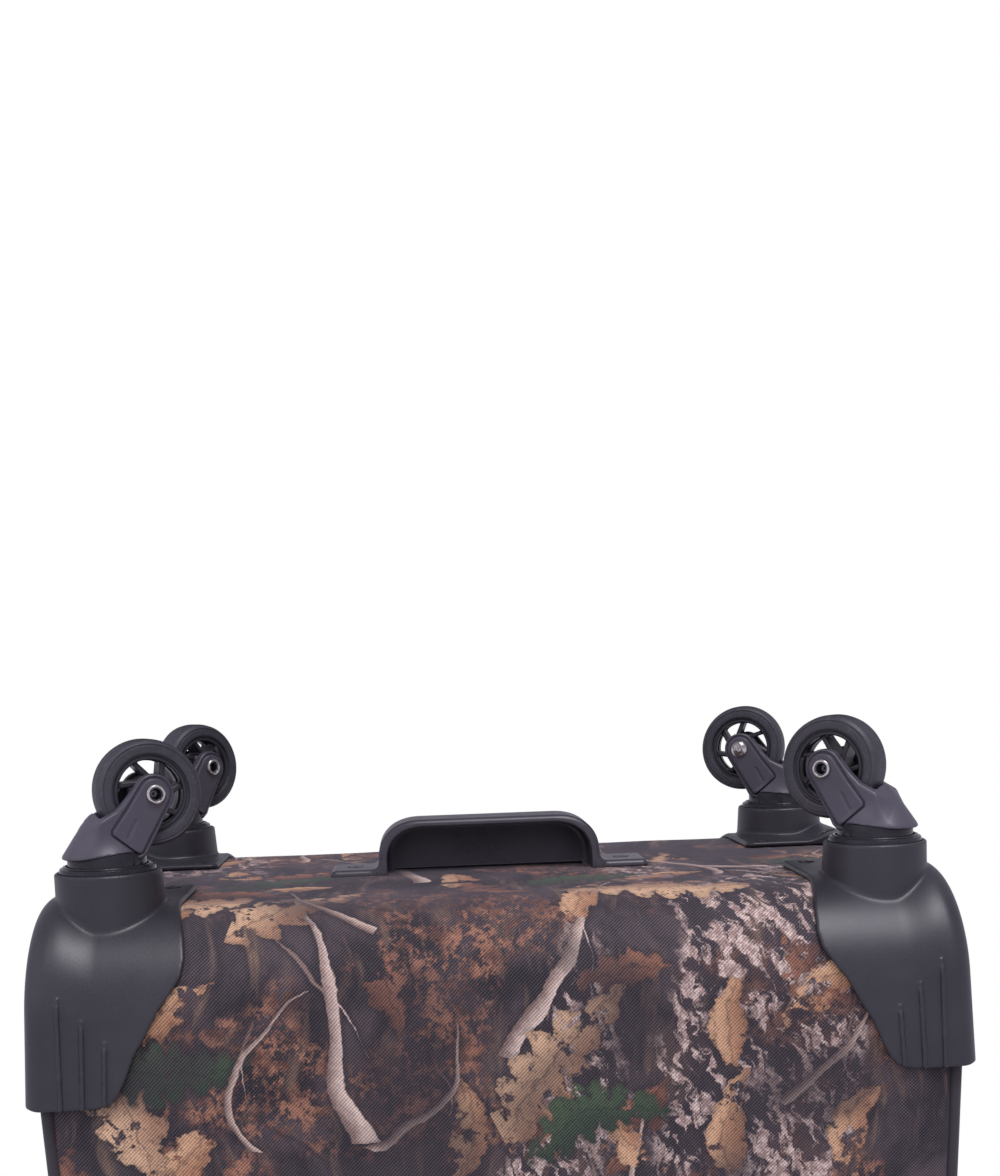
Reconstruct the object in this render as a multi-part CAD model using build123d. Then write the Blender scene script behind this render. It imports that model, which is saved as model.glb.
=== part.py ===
from build123d import *
import math
import os

# Upright soft-sided four-wheel rolling case, millimetres, +Z up, wheels on z = 0.
# Origin: on the floor, at the centre of the four-caster pattern. -Y is the front
# (opening lid and pockets), +Y is the back (pull-handle side), +X is the right.

# ---------------------------------------------------------------- driving dimensions
BODY_W = 436.0          # fabric body width, X
BODY_D = 290.0          # fabric body depth, Y
BOTTOM_Z = 79.0         # underside of the bottom panel
TOP_Z = 739.0           # top panel
EDGE_R = 46.0           # radius between the bottom panel and the front and back faces
SIDE_R = 20.0           # radius between the bottom panel and the sides
TOP_R = 34.0            # top corners, seen from the front
CORNER_R = 12.0         # vertical corners and the top edges along the front and back
WALL = 4.0              # body wall: fabric, foam and board
LID_WALL = 3.0
LID_Y = -99.6           # lid side of the main zip
BODY_Y = -95.0          # body side of the main zip
HINGE_Z = 177.0         # height of the lid's fabric hinge
REACH = 300.0           # cutting blocks extend this far, beyond the case

CASTER_X = 185.5        # swivel axes
CASTER_Y = 102.5
PIN_R = 3.5             # swivel pin

HANDLE_Y = 112.0        # pull-handle tubes
TUBE_X = 72.0
OUTER_TUBE_W = 26.0
OUTER_TUBE_D = 15.0
CUP_HALF_X = 100.0      # recessed cup around the pull-handle grip
CUP_HALF_Y = 18.4
CUP_CLEARANCE = 1.0

CORNER_SCREWS = [(164.0, 52.0), (203.0, 52.0)]      # in the back right guard
GUARD_SCREWS = [(side * x, end * y) for side in (-1, 1) for end in (-1, 1)
                for x, y in CORNER_SCREWS]
HANDLE_SCREWS = [(-73, 0), (73, 0)]                 # in the bottom handle
SCREW_HOLE_R = 1.95
SHANK_R = 1.85

os.makedirs("parts", exist_ok=True)


# ---------------------------------------------------------------- helpers
def save(shape, name):
    export_step(shape, f"parts/{name}.step")


def save_group(shapes, name):
    save(Compound(children=shapes), name)


def block(x0, x1, y0, y1, z0, z1):
    return Pos((x0 + x1) / 2, (y0 + y1) / 2, (z0 + z1) / 2) * Box(x1 - x0, y1 - y0, z1 - z0)


def disc(radius, z0, z1, x=0.0, y=0.0):
    return Pos(x, y, (z0 + z1) / 2) * Cylinder(radius, z1 - z0)


def ring(outer_r, inner_r, z0, z1, x=0.0, y=0.0):
    return disc(outer_r, z0, z1, x, y) - disc(inner_r, z0 - 1, z1 + 1, x, y)


def rod_x(radius, length, y):
    """Cylinder along X, centred at x = 0, z = 0."""
    return Pos(0, y, 0) * Rot(0, 90, 0) * Cylinder(radius, length)


def rod_y(radius, length, x, y, z):
    return Pos(x, y, z) * Rot(90, 0, 0) * Cylinder(radius, length)


def slab(width, depth, radius, z, height, x=0.0, y=0.0):
    """Upright prism with rounded vertical corners, standing on z."""
    return extrude(Pos(x, y, z) * RectangleRounded(width, depth, radius), amount=height)


def prism(plane, points, half_depth):
    """Polygon extruded to both sides of a plane."""
    with BuildSketch(plane) as sk:
        with BuildLine():
            Polyline(*points, close=True)
        make_face()
    return extrude(sk.sketch, amount=half_depth, both=True)


def cross_screw(x, y, head_r, z0, z1, slot_length, slot_depth):
    """Screw pointing up, its head from z0 to z1, with a cross recess underneath."""
    slot_w = 0.9
    head = disc(head_r, z0, z1, x, y)
    head -= Pos(x, y, z0) * Box(slot_length, slot_w, slot_depth)
    head -= Pos(x, y, z0) * Box(slot_w, slot_length, slot_depth)
    return head + disc(SHANK_R, 77.0, 88.0, x, y)


def drill_bottom(part):
    """Holes for the guard and bottom handle screws."""
    for x, y in GUARD_SCREWS + HANDLE_SCREWS:
        part -= disc(SCREW_HOLE_R, 70, 92, x, y)
    return part


def body_form(grow, grow_bottom=None):
    """Rounded case form: three crossed prisms. grow moves every wall outwards."""
    if grow_bottom is None:
        grow_bottom = grow
    half_w = BODY_W / 2 + grow
    half_d = BODY_D / 2 + grow
    z0 = BOTTOM_Z - grow_bottom
    z1 = TOP_Z + grow
    corner_r = CORNER_R + grow

    def outline(half, bottom_r, top_r):
        with BuildSketch() as sk:
            with BuildLine():
                Polyline((-half, z0), (half, z0), (half, z1), (-half, z1), close=True)
            make_face()
            fillet([v for v in sk.vertices() if v.Y < 300], bottom_r)
            fillet([v for v in sk.vertices()
                    if v.Y > z1 - 1 and abs(abs(v.X) - half) < 0.01], top_r)
        return sk.sketch

    front_view = outline(half_w, SIDE_R + grow, TOP_R + grow)
    side_view = outline(half_d, EDGE_R + grow, corner_r)
    along_y = extrude(Plane.XZ * front_view, amount=half_d + 50, both=True)
    along_x = extrude(Plane.YZ * side_view, amount=half_w + 50, both=True)
    along_z = slab(2 * half_w, 2 * half_d, corner_r, 0, 900)
    return along_y & along_x & along_z


# ---------------------------------------------------------------- fabric body and lid
PIPE_R = 3.1            # piping cord
PIPE_X = BODY_W / 2 - 0.6
PIPE_Y = BODY_D / 2 - 5.0
PIPE_TOP_Z = TOP_Z - 0.6
PIPE_BEND_R = TOP_R - 0.6


def main_body():
    outer = body_form(0.0)
    inner = body_form(-WALL)
    lid_side = block(-REACH, REACH, -REACH, BODY_Y, HINGE_Z - 1, 900)
    body = (outer - lid_side) - inner
    half_x = CUP_HALF_X + CUP_CLEARANCE
    half_y = CUP_HALF_Y + CUP_CLEARANCE
    body -= block(-half_x, half_x, HANDLE_Y - half_y, HANDLE_Y + half_y, 700, 800)
    return drill_bottom(body)


def lid_shell():
    lid_side = block(-REACH, REACH, -REACH, LID_Y, HINGE_Z + 1, 900)
    return (body_form(0.0) & lid_side) - body_form(-LID_WALL)


def piping(y, z_low):
    """Inverted-U cord in a plane of constant y."""
    bend_z = PIPE_TOP_Z - PIPE_BEND_R
    bend_x = PIPE_X - PIPE_BEND_R
    inset = PIPE_BEND_R * (1 - math.sqrt(0.5))      # arc midpoint from the square corner
    mid_x = PIPE_X - inset
    mid_z = PIPE_TOP_Z - inset
    start = (-PIPE_X, y, z_low)
    left_bend, left_top = (-PIPE_X, y, bend_z), (-bend_x, y, PIPE_TOP_Z)
    right_top, right_bend = (bend_x, y, PIPE_TOP_Z), (PIPE_X, y, bend_z)
    path = Wire([
        Edge.make_line(start, left_bend),
        Edge.make_three_point_arc(left_bend, (-mid_x, y, mid_z), left_top),
        Edge.make_line(left_top, right_top),
        Edge.make_three_point_arc(right_top, (mid_x, y, mid_z), right_bend),
        Edge.make_line(right_bend, (PIPE_X, y, z_low))])
    return sweep(Plane(origin=start, z_dir=(0, 0, 1)) * Circle(PIPE_R), path=path)


pipe_back = piping(PIPE_Y, 169.0)
pipe_front = piping(-PIPE_Y, 182.0)
save(pipe_back, "piping_back")
save(pipe_front, "piping_front")
save(main_body() - pipe_back, "main_body")
save(lid_shell() - pipe_front, "lid_shell")

# ---------------------------------------------------------------- linings, boards and wires
BOARD_T = 3.0
BRACKET_H = 24          # brackets between the back board and the outer tubes

# open-fronted box
lining = block(-207, 207, -84, 98, 92, 712) - block(-206, 206, -200, 97, 93, 711)
save(lining, "lining")
save(block(-205, 205, -131.0, -130.0, 184, 722), "lid_lining")


def bottom_board():
    z = BOTTOM_Z + WALL
    return drill_bottom(block(-188, 188, -98.5, 98.5, z, z + BOARD_T))


def back_board():
    back_y = BODY_D / 2 - WALL
    front_y = back_y - BOARD_T
    board = block(-196, 196, front_y, back_y, 130, 700)
    half_w = OUTER_TUBE_W / 2
    for side in (-1, 1):
        x = side * TUBE_X
        for z in (130, 640):
            board += block(x - half_w, x + half_w, HANDLE_Y + OUTER_TUBE_D / 2, front_y + 0.5,
                           z, z + BRACKET_H)
    return board


save_group([bottom_board(), back_board()], "frame_board")


def hoop(y, half_w, z0, z1, corner_r, wire_r):
    """Closed wire hoop in a plane of constant y."""
    plane = Plane(origin=(0, y, (z0 + z1) / 2), x_dir=(1, 0, 0), z_dir=(0, -1, 0))
    path = (plane * RectangleRounded(2 * half_w, z1 - z0, corner_r)).face().outer_wire()
    return sweep(Plane(origin=path @ 0, z_dir=path % 0) * Circle(wire_r), path=path)


# name, y, half width, bottom z, top z, corner radius, wire radius
HOOPS = [
    ("wire_hoop_back", 133.0, 206, 108, 728, 40, 2.0),
    ("wire_hoop_front", -90.0, 207, 98, 728, 40, 2.0),
    ("lid_wire", -136.0, 207, 188, 728, 34, 1.8),
]
for name, *sizes in HOOPS:
    save(hoop(*sizes), name)

# ---------------------------------------------------------------- main zip
ZIP_IN = 0.1            # gap between the fabric and the zip
ZIP_OUT = 1.6           # outer face of the body half, beyond the fabric
ZIP_LID_OUT = 0.9       # outer face of the lid half
ZIP_Y0 = -99.0          # body half, front and back edges
ZIP_Y1 = -91.2


def band(y0, y1, inner_grow, outer_grow, z_low):
    """Frame that wraps the case from y0 to y1, between two growths, above z_low."""
    frame = body_form(outer_grow) - body_form(inner_grow)
    return frame & block(-400, 400, y0, y1, z_low, 900)


def main_zip_body():
    """Zip frame with a short tail running forward below each end."""
    x0 = BODY_W / 2 + ZIP_IN
    x1 = BODY_W / 2 + ZIP_OUT
    chain = band(ZIP_Y0, ZIP_Y1, ZIP_IN, ZIP_OUT, HINGE_Z + 4)
    chain += block(-x1, -x0, -132, ZIP_Y1, 173.4, 180.9)
    chain += block(x0, x1, -132, ZIP_Y1, 173.4, 180.9)
    return chain


save(main_zip_body(), "main_zip_body")
save(band(-107.6, -99.8, ZIP_IN, ZIP_LID_OUT, 184.0), "main_zip_lid")

# ---------------------------------------------------------------- zip sliders and pulls
BAIL_Y = -4.3           # pin that carries the pull
BAIL_R = 0.8
PULL_LENGTH = 30.0
PULL_HOLE_R = 2.0       # padlock hole


def zip_slider():
    """Slider facing -Y, its back plane at y = 0, zip direction X, bail pin along X at z = 0."""
    slider = block(-4.6, 4.6, -2.4, 0, -3.6, 3.6)
    slider = fillet(slider.edges().filter_by(Axis.Y), 1.6)
    slider += block(-3.4, -2.3, -5.6, -2.0, -1.4, 1.4)
    slider += block(2.3, 3.4, -5.6, -2.0, -1.4, 1.4)
    slider += rod_x(BAIL_R, 5.4, BAIL_Y)
    return slider


def zip_pull():
    """Pull tab hanging towards -Z from the bail pin."""
    tab = block(-1.9, 1.9, -5.5, -3.1, -3.2, 1.36)
    tab += block(-4.2, 4.2, -5.4, -3.2, -PULL_LENGTH, -3.1)
    tab -= rod_x(BAIL_R + 0.12, 12, BAIL_Y)
    tab -= rod_y(PULL_HOLE_R, 12, 0, BAIL_Y, -PULL_LENGTH + 5)
    return tab


def save_slider(name, x, y, z, tilt=0):
    """Slider and pull; a tilt of -90 about X faces them up, the pull towards the front."""
    place = Pos(x, y, z) * Rot(tilt, 0, 0)
    save(place * zip_slider(), f"{name}_slider")
    save(place * zip_pull(), f"{name}_pull")


for name, x in (("main_left", -9.0), ("main_right", 9.0)):
    save_slider(name, x, (ZIP_Y0 + ZIP_Y1) / 2, TOP_Z + 2, tilt=-90)

# ---------------------------------------------------------------- pockets on the lid
POCKET_BACK_Y = -BODY_D / 2 - 0.2
POCKET_WALL = 2.5
POCKET_CORNER_R = 26
POCKET_EDGE_R = 9
ZIP_END = 30            # pocket side to the end of its zip
ZIP_DROP = 20           # pocket top to the middle of its zip
ZIP_HALF_H = 4


def pocket(half_w, z0, z1, front_y):
    """Shallow fabric tray, open towards the lid."""
    def tray(grow, y0, y1):
        plane = Plane(origin=(0, y0, (z0 + z1) / 2), x_dir=(1, 0, 0), z_dir=(0, 1, 0))
        face = RectangleRounded(2 * (half_w + grow), z1 - z0 + 2 * grow, POCKET_CORNER_R + grow)
        return extrude(plane * face, amount=y1 - y0)

    outer = tray(0, front_y, POCKET_BACK_Y)
    outer = fillet(outer.edges().group_by(Axis.Y)[0], POCKET_EDGE_R)
    return outer - tray(-POCKET_WALL, front_y + POCKET_WALL, POCKET_BACK_Y + 5)


# name, half width, bottom z, top z, front y
POCKETS = [
    ("lower_pocket", 190, 198, 462, -166),
    ("upper_pocket", 168, 500, 690, -160),
]
for name, half_w, z0, z1, front_y in POCKETS:
    zip_x = half_w - ZIP_END
    zip_z = z1 - ZIP_DROP
    save(pocket(half_w, z0, z1, front_y), name)
    save(block(-zip_x, zip_x, front_y - 1.3, front_y - 0.1, zip_z - ZIP_HALF_H,
               zip_z + ZIP_HALF_H), f"{name}_zip")
    save_slider(name, -(zip_x - 10), front_y - 1.6, zip_z)

# ---------------------------------------------------------------- casters
# Built with the swivel axis on Z at the origin, the trail along +X and the axle along Y.
TRAIL = 22.0            # axle offset from the swivel axis
WHEEL_R = 25.0
WHEEL_W = 16.5
TYRE_IN = 17.4          # tyre inner radius
AXLE_Z = WHEEL_R
AXLE_R = 3.0
EAR_OUT = 15.2          # outer faces of the fork ears, from the middle
SLOT_HALF = 9.3         # half the wheel slot
SLOT_R = 28.0
RIM_IN = 15.7           # hub rim inner radius
SPOKES = 7
SPOKE_LEAN = 0.62       # radians each spoke's inner end lags its outer end

# name: x, y, yaw of the trail about +Z, fork side of the hollow rivet end (1 is +Y)
CASTERS = {
    "back_left": (-CASTER_X, CASTER_Y, -24.2, 1),
    "back_right": (CASTER_X, CASTER_Y, -141.9, -1),
    "front_left": (-CASTER_X, -CASTER_Y, -44.5, 1),
    "front_right": (CASTER_X, -CASTER_Y, -157.7, 1),
}

# fork outlines, (x, z)
EAR = [
    (-19.4, 51.5), (-13.0, 43.6), (-7.0, 37.0), (2.5, 32.0), (11.0, 19.8), (15.2, 16.6),
    (22.0, 15.7), (28.6, 18.6), (31.2, 24.5), (29.6, 30.0), (16.2, 53.0), (9.5, 54.6),
    (0.0, 50.0)]
STRAP = [
    (0.6, 41.4), (15.8, 19.6), (22.0, 17.0), (28.0, 20.0), (29.6, 27.0), (11.4, 51.4),
    (5.0, 48.6)]
HOOD = [(-19.4, 51.5), (-13.0, 43.6), (-7.0, 37.0), (4.0, 34.0), (9.0, 52.0)]


def fork():
    body = prism(Plane.XZ, EAR, 13.4)
    body = body & (disc(20.0, 0, 80) + block(-1, 60, -30, 30, 0, 80))   # round the rear
    body += prism(Plane.XZ, STRAP, EAR_OUT)
    cone = Pos(0, 0, 44.25) * Cone(12.0, 19.6, 14.5)
    body += cone & prism(Plane.XZ, HOOD, 25)
    body += disc(19.2, 50.0, 57.4)
    body += disc(16.8, 57.0, 72.0)
    body -= rod_y(SLOT_R, 2 * SLOT_HALF, TRAIL, 0, AXLE_Z)
    body -= disc(PIN_R + 0.06, 30, 80)
    body -= disc(6.4, 30, 47.4)         # room for the pin head
    body -= rod_y(AXLE_R + 0.02, 60, TRAIL, 0, AXLE_Z)
    return body


def tyre():
    with BuildSketch(Plane.XZ) as sk:
        with Locations(((TYRE_IN + WHEEL_R) / 2, 0)):
            Rectangle(WHEEL_R - TYRE_IN, WHEEL_W)
        fillet([v for v in sk.vertices() if v.X > 20], 2.6)
        fillet([v for v in sk.vertices() if v.X < 18], 0.8)
    return Pos(TRAIL, 0, AXLE_Z) * Rot(90, 0, 0) * revolve(sk.sketch, axis=Axis.Z)


def hub():
    """Spoked hub, its axis on Z."""
    body = ring(TYRE_IN - 0.05, RIM_IN, -7.0, 7.0)
    body += disc(7.9, -9.1, 9.1)
    for i in range(SPOKES):
        outer_a = 2 * math.pi * i / SPOKES
        inner_a = outer_a - SPOKE_LEAN
        x0, y0 = 7.0 * math.cos(inner_a), 7.0 * math.sin(inner_a)
        x1, y1 = 16.4 * math.cos(outer_a), 16.4 * math.sin(outer_a)
        heading = math.degrees(math.atan2(y1 - y0, x1 - x0))
        spoke = Box(math.hypot(x1 - x0, y1 - y0), 2.5, 9.0)
        spoke = Pos((x0 + x1) / 2, (y0 + y1) / 2, 0) * Rot(0, 0, heading) * spoke
        body += spoke & disc(16.6, -10, 10)
    body -= disc(AXLE_R + 0.08, -20, 20)
    return body


def axle():
    """Tubular rivet along Z: rolled hollow end at +Z, domed head at -Z."""
    rivet = disc(AXLE_R, -EAR_OUT - 0.2, EAR_OUT + 1.2)
    rivet += ring(4.4, 1.5, EAR_OUT + 0.05, EAR_OUT + 1.3)
    head_z = -EAR_OUT - 0.05
    dome = Pos(0, 0, head_z + 4.6) * Sphere(7.0)
    rivet += dome & disc(5.4, -EAR_OUT - 8, head_z)
    rivet -= disc(2.3, 0, 40)
    return rivet


fork_shape, tyre_shape, hub_shape, axle_shape = fork(), tyre(), hub(), axle()
swivel_rings, swivel_pins = [], []
for name, (x, y, yaw, hollow_side) in CASTERS.items():
    place = Pos(x, y, 0) * Rot(0, 0, yaw)
    on_axle = place * Pos(TRAIL, 0, AXLE_Z) * Rot(-90 * hollow_side, 0, 0)
    save(place * fork_shape, f"fork_{name}")
    save(place * tyre_shape, f"tyre_{name}")
    save(on_axle * hub_shape, f"hub_{name}")
    save(on_axle * axle_shape, f"axle_{name}")
    swivel_rings.append(ring(22.75, 17.2, 58.2, 66.0, x, y))
    swivel_pins.append(disc(PIN_R, 45.2, 78.6, x, y) + disc(5.2, 45.2, 47.3, x, y))
save_group(swivel_rings, "swivel_rings")
save_group(swivel_pins, "swivel_pins")

# ---------------------------------------------------------------- corner guards
GUARD_GAP = 0.3
GUARD_T = 2.6           # wall
GUARD_FLANGE = 4.0      # growth under the bottom panel
GUARD_H = 87.4          # height above the bottom panel
SOCKET_R = 24.8         # swivel socket, outer radius at its rim
SOCKET_RIM_Z = 60.0
SOCKET_TOP_Z = 96.0
SOCKET_CAV_R = 22.8
SOCKET_ROOF_Z = 74.0

# guard edge seen from the front: x, height above the bottom panel
FRONT_EDGE = [
    (153.2, -20), (152.8, 0), (150.6, 4), (148.5, 10), (148.0, 19), (149.6, 26),
    (155.0, 33.8), (160.8, 41), (167.8, 53), (173.4, 61.4), (179.2, 74.3), (183.9, 82.0),
    (189.5, 86.3), (197.7, GUARD_H), (260, GUARD_H), (260, -20)]
# guard edge seen from the side: distance in from the back face, height as above
SIDE_EDGE = [
    (102.0, -20), (102.0, 3), (99.0, 14.3), (93.0, 24.6), (84.0, 35.6), (75.0, 47.5),
    (66.5, 61.4), (60.0, 74.3), (55.5, 82.0), (50.0, 86.3), (42.0, GUARD_H),
    (-30, GUARD_H), (-30, -20)]
# ribs on the back skirt: x, bottom height above the bottom panel
RIBS = [(205.7, 39.0), (195.7, 49.7), (185.8, 60.2)]


def back_right_guard():
    inner = body_form(GUARD_GAP)
    outer = body_form(GUARD_GAP + GUARD_T, GUARD_FLANGE)
    front_points = [(x, BOTTOM_Z + h) for x, h in FRONT_EDGE]
    side_points = [(BODY_D / 2 - inset, BOTTOM_Z + h) for inset, h in SIDE_EDGE]
    guard = (outer - inner) & prism(Plane.XZ, front_points, 400)
    guard = guard & prism(Plane.YZ, side_points, 400)
    socket = Pos(CASTER_X, CASTER_Y, (SOCKET_RIM_Z + SOCKET_TOP_Z) / 2) * Cone(
        SOCKET_R, SOCKET_R + 2.2, SOCKET_TOP_Z - SOCKET_RIM_Z)
    socket = (socket - inner) & block(100, 235, 0, 160, 50, 93)
    guard = guard + socket
    guard -= disc(SOCKET_CAV_R, SOCKET_RIM_Z - 5, SOCKET_ROOF_Z, CASTER_X, CASTER_Y)
    guard -= disc(PIN_R + 0.02, 50, 100, CASTER_X, CASTER_Y)
    for x, y in CORNER_SCREWS:
        guard -= disc(4.2, 70, 77.4, x, y)
        guard -= disc(1.9, 70, 90, x, y)
    skirt_y = BODY_D / 2 + GUARD_GAP + GUARD_T
    for x, height in RIBS:
        guard += block(x - 0.7, x + 0.7, skirt_y - 1.0, skirt_y + 0.5,
                       BOTTOM_Z + height, BOTTOM_Z + 84.5)
    return guard.solids().sort_by(SortBy.VOLUME)[-1]


back_right = back_right_guard()
back_left = mirror(back_right, about=Plane.YZ)
save(back_right, "guard_back_right")
save(back_left, "guard_back_left")
save(mirror(back_right, about=Plane.XZ), "guard_front_right")
save(mirror(back_left, about=Plane.XZ), "guard_front_left")
save_group([cross_screw(x, y, 3.7, 75.3, 77.3, 4.4, 1.6) for x, y in GUARD_SCREWS],
           "guard_screws")

# ---------------------------------------------------------------- bottom grab handle
GRAB_HALF_D = 16.5
GRAB_WALL = 3.0
GRAB_PLATE_T = 3.8


def arch(half_w, height, radius, y0, y1):
    """Trapezoid hanging from the bottom panel, its lower corners rounded."""
    low_z = BOTTOM_Z - height
    with BuildSketch(Plane.XZ) as sk:
        with BuildLine():
            Polyline((-half_w, BOTTOM_Z), (-half_w + 5, low_z), (half_w - 5, low_z),
                     (half_w, BOTTOM_Z), close=True)
        make_face()
        fillet([v for v in sk.vertices() if v.Y < low_z + 0.1], radius)
    solid = extrude(sk.sketch, amount=200, both=True)
    return solid & block(-200, 200, y0, y1, 0, BOTTOM_Z)


def bottom_handle():
    """Hollow arch, open at the back, under a screwed plate."""
    inner_y = GRAB_HALF_D - GRAB_WALL
    handle = arch(59.8, 28.8, 17, -GRAB_HALF_D, GRAB_HALF_D)
    handle -= arch(55.6, 25.2, 14.5, -inner_y, GRAB_HALF_D + 5)
    plate = slab(174, 2 * GRAB_HALF_D, 8, BOTTOM_Z - GRAB_PLATE_T, GRAB_PLATE_T)
    handle += plate - block(-56, 56, -inner_y, inner_y, 70, 80)
    for x, y in HANDLE_SCREWS:
        handle -= disc(1.9, 70, 85, x, y)
        handle -= disc(4.0, 70, 77.2, x, y)
    return handle


save(bottom_handle(), "bottom_handle")
save_group([cross_screw(x, y, 3.6, 75.4, 77.1, 4.2, 1.5) for x, y in HANDLE_SCREWS],
           "bottom_handle_screws")

# ---------------------------------------------------------------- pull handle
GRIP_Z = 719.4          # underside of the grip, top of the inner tubes
GRIP_HALF_W = 96
GRIP_HALF_D = 14.5

# name, width, depth, wall, bottom z, top z
TUBES = [
    ("outer_tubes", OUTER_TUBE_W, OUTER_TUBE_D, 1.2, 115, 715.0),
    ("mid_tubes", 22.8, 11.8, 1.0, 140, 716.0),
    ("inner_tubes", 20.0, 9.0, 1.0, 165, GRIP_Z),
]


def tube(width, depth, wall, z0, z1, x):
    radius = depth / 2 - 0.5
    outer = slab(width, depth, radius, z0, z1 - z0, x, HANDLE_Y)
    bore = slab(width - 2 * wall, depth - 2 * wall, radius - wall, z0 - 1, z1 - z0 + 2,
                x, HANDLE_Y)
    return outer - bore


def handle_cup():
    cup = block(-CUP_HALF_X, CUP_HALF_X, HANDLE_Y - CUP_HALF_Y, HANDLE_Y + CUP_HALF_Y,
                715.2, 741.0)
    cup += slab(212, 45, 9, TOP_Z + 0.2, 2.2, y=HANDLE_Y)       # rim on the top panel
    cup -= slab(196, 33, 7, 717.6, 40, y=HANDLE_Y)
    for side in (-1, 1):
        cup -= slab(24.0, 13.0, 5.6, 700, 40, side * TUBE_X, HANDLE_Y)
    return cup


def grip():
    bar = block(-GRIP_HALF_W, GRIP_HALF_W, HANDLE_Y - GRIP_HALF_D, HANDLE_Y + GRIP_HALF_D,
                GRIP_Z, 745.5)
    bar = fillet(bar.edges().filter_by(Axis.X), 8.5)
    bar = bar & slab(2 * GRIP_HALF_W, 2 * GRIP_HALF_D, 6.0, 700, 80, y=HANDLE_Y)
    bar -= slab(42.4, 13.4, 6.2, 738.0, 20, y=HANDLE_Y)         # button recess
    return bar


for name, *sizes in TUBES:
    save_group([tube(*sizes, side * TUBE_X) for side in (-1, 1)], name)
save(handle_cup(), "handle_cup")
save(grip(), "grip")
button = slab(42.0, 13.0, 6.0, 741.6, 5.4, y=HANDLE_Y)
save(fillet(button.edges().group_by(Axis.Z)[-1], 1.2), "release_button")

# ---------------------------------------------------------------- soft carry handles
CARRY_HALF = 105.0      # half length
CARRY_RISE = 24
CARRY_W = 34
CARRY_T = 9


def carry_handle():
    """Padded strap arch standing on z = 0, along X, with two end tabs."""
    tab_z = CARRY_T * 0.6
    under_z = CARRY_RISE - CARRY_T
    left = -CARRY_HALF
    right = CARRY_HALF
    points = [
        (left, 0), (left, tab_z), (left + 22, tab_z + 1), (left + 36, CARRY_RISE),
        (right - 36, CARRY_RISE), (right - 22, tab_z + 1), (right, tab_z), (right, 0),
        (right - 20, 0), (right - 33, under_z), (left + 33, under_z), (left + 20, 0)]
    return prism(Plane.XZ, points, CARRY_W / 2)


save(Pos(0, 42, TOP_Z + 0.3) * carry_handle(), "top_handle")
save(Pos(BODY_W / 2 + 0.3, 12, 410) * Rot(0, 90, 0) * carry_handle(), "side_handle")
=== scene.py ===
import bpy, bmesh, math
import numpy as np
from mathutils import Vector, Matrix


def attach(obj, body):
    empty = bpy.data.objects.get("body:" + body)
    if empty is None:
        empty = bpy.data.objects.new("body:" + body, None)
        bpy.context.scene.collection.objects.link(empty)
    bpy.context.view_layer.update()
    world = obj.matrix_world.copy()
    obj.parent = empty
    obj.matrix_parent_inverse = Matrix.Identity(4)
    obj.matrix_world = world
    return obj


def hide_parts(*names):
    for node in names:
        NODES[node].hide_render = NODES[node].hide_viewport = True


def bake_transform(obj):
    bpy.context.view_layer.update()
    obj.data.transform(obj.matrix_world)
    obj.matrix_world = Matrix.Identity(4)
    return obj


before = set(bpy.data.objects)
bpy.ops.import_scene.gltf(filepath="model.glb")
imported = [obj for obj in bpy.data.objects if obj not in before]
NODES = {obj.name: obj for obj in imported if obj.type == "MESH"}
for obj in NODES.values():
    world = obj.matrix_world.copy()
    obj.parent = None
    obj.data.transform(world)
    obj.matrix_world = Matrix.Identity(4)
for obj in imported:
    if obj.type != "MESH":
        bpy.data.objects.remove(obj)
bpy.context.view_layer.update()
scene = bpy.context.scene

#==CAMERA
cam_data = bpy.data.cameras.new("camera")
cam = bpy.data.objects.new("camera", cam_data)
scene.collection.objects.link(cam)
scene.camera = cam
cam_data.sensor_width = 36.0
cam_data.lens = 47.08
CAM = Vector((-0.03746, 0.84801, -0.02615))
R = Matrix(((0.99643, 0.05003, -0.06806), (0.07864, -0.25512, 0.96371), (0.03085, -0.96562, -0.25814)))
cam.rotation_mode = "QUATERNION"
cam.location = CAM
cam.rotation_quaternion = R.to_quaternion()
cam_data.clip_start = 0.02
cam_data.clip_end = 50
# the lens shift belongs to the main viewpoint only: any other viewpoint is centred
for path, value in (("shift_x", -0.03105), ("shift_y", 0.41819)):
    drv = cam_data.driver_add(path).driver
    drv.type = "SCRIPTED"
    for name, k in (("px", 0), ("py", 1), ("pz", 2)):
        v = drv.variables.new()
        v.name = name
        v.type = "SINGLE_PROP"
        v.targets[0].id_type = "OBJECT"
        v.targets[0].id = cam
        v.targets[0].data_path = "location[%d]" % k
    drv.expression = "%.5f if abs(px - %.5f) + abs(py - %.5f) + abs(pz - %.5f) < 0.001 else 0.0" % (value, CAM.x, CAM.y, CAM.z)

#==WORLD
scene.view_settings.view_transform = "Standard"
world = bpy.data.worlds.new("studio")
scene.world = world
world.use_nodes = True
nt = world.node_tree
nt.nodes.clear()
out = nt.nodes.new("ShaderNodeOutputWorld")
mixw = nt.nodes.new("ShaderNodeMixShader")
lp = nt.nodes.new("ShaderNodeLightPath")
bg1 = nt.nodes.new("ShaderNodeBackground")
bg2 = nt.nodes.new("ShaderNodeBackground")
bg1.inputs[0].default_value = (0.80, 0.77, 0.90, 1)
bg1.inputs[1].default_value = 0.75
bg2.inputs[0].default_value = (1, 1, 1, 1)
bg2.inputs[1].default_value = 1.0
nt.links.new(lp.outputs["Is Camera Ray"], mixw.inputs[0])
nt.links.new(bg1.outputs[0], mixw.inputs[1])
nt.links.new(bg2.outputs[0], mixw.inputs[2])
nt.links.new(mixw.outputs[0], out.inputs[0])

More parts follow.
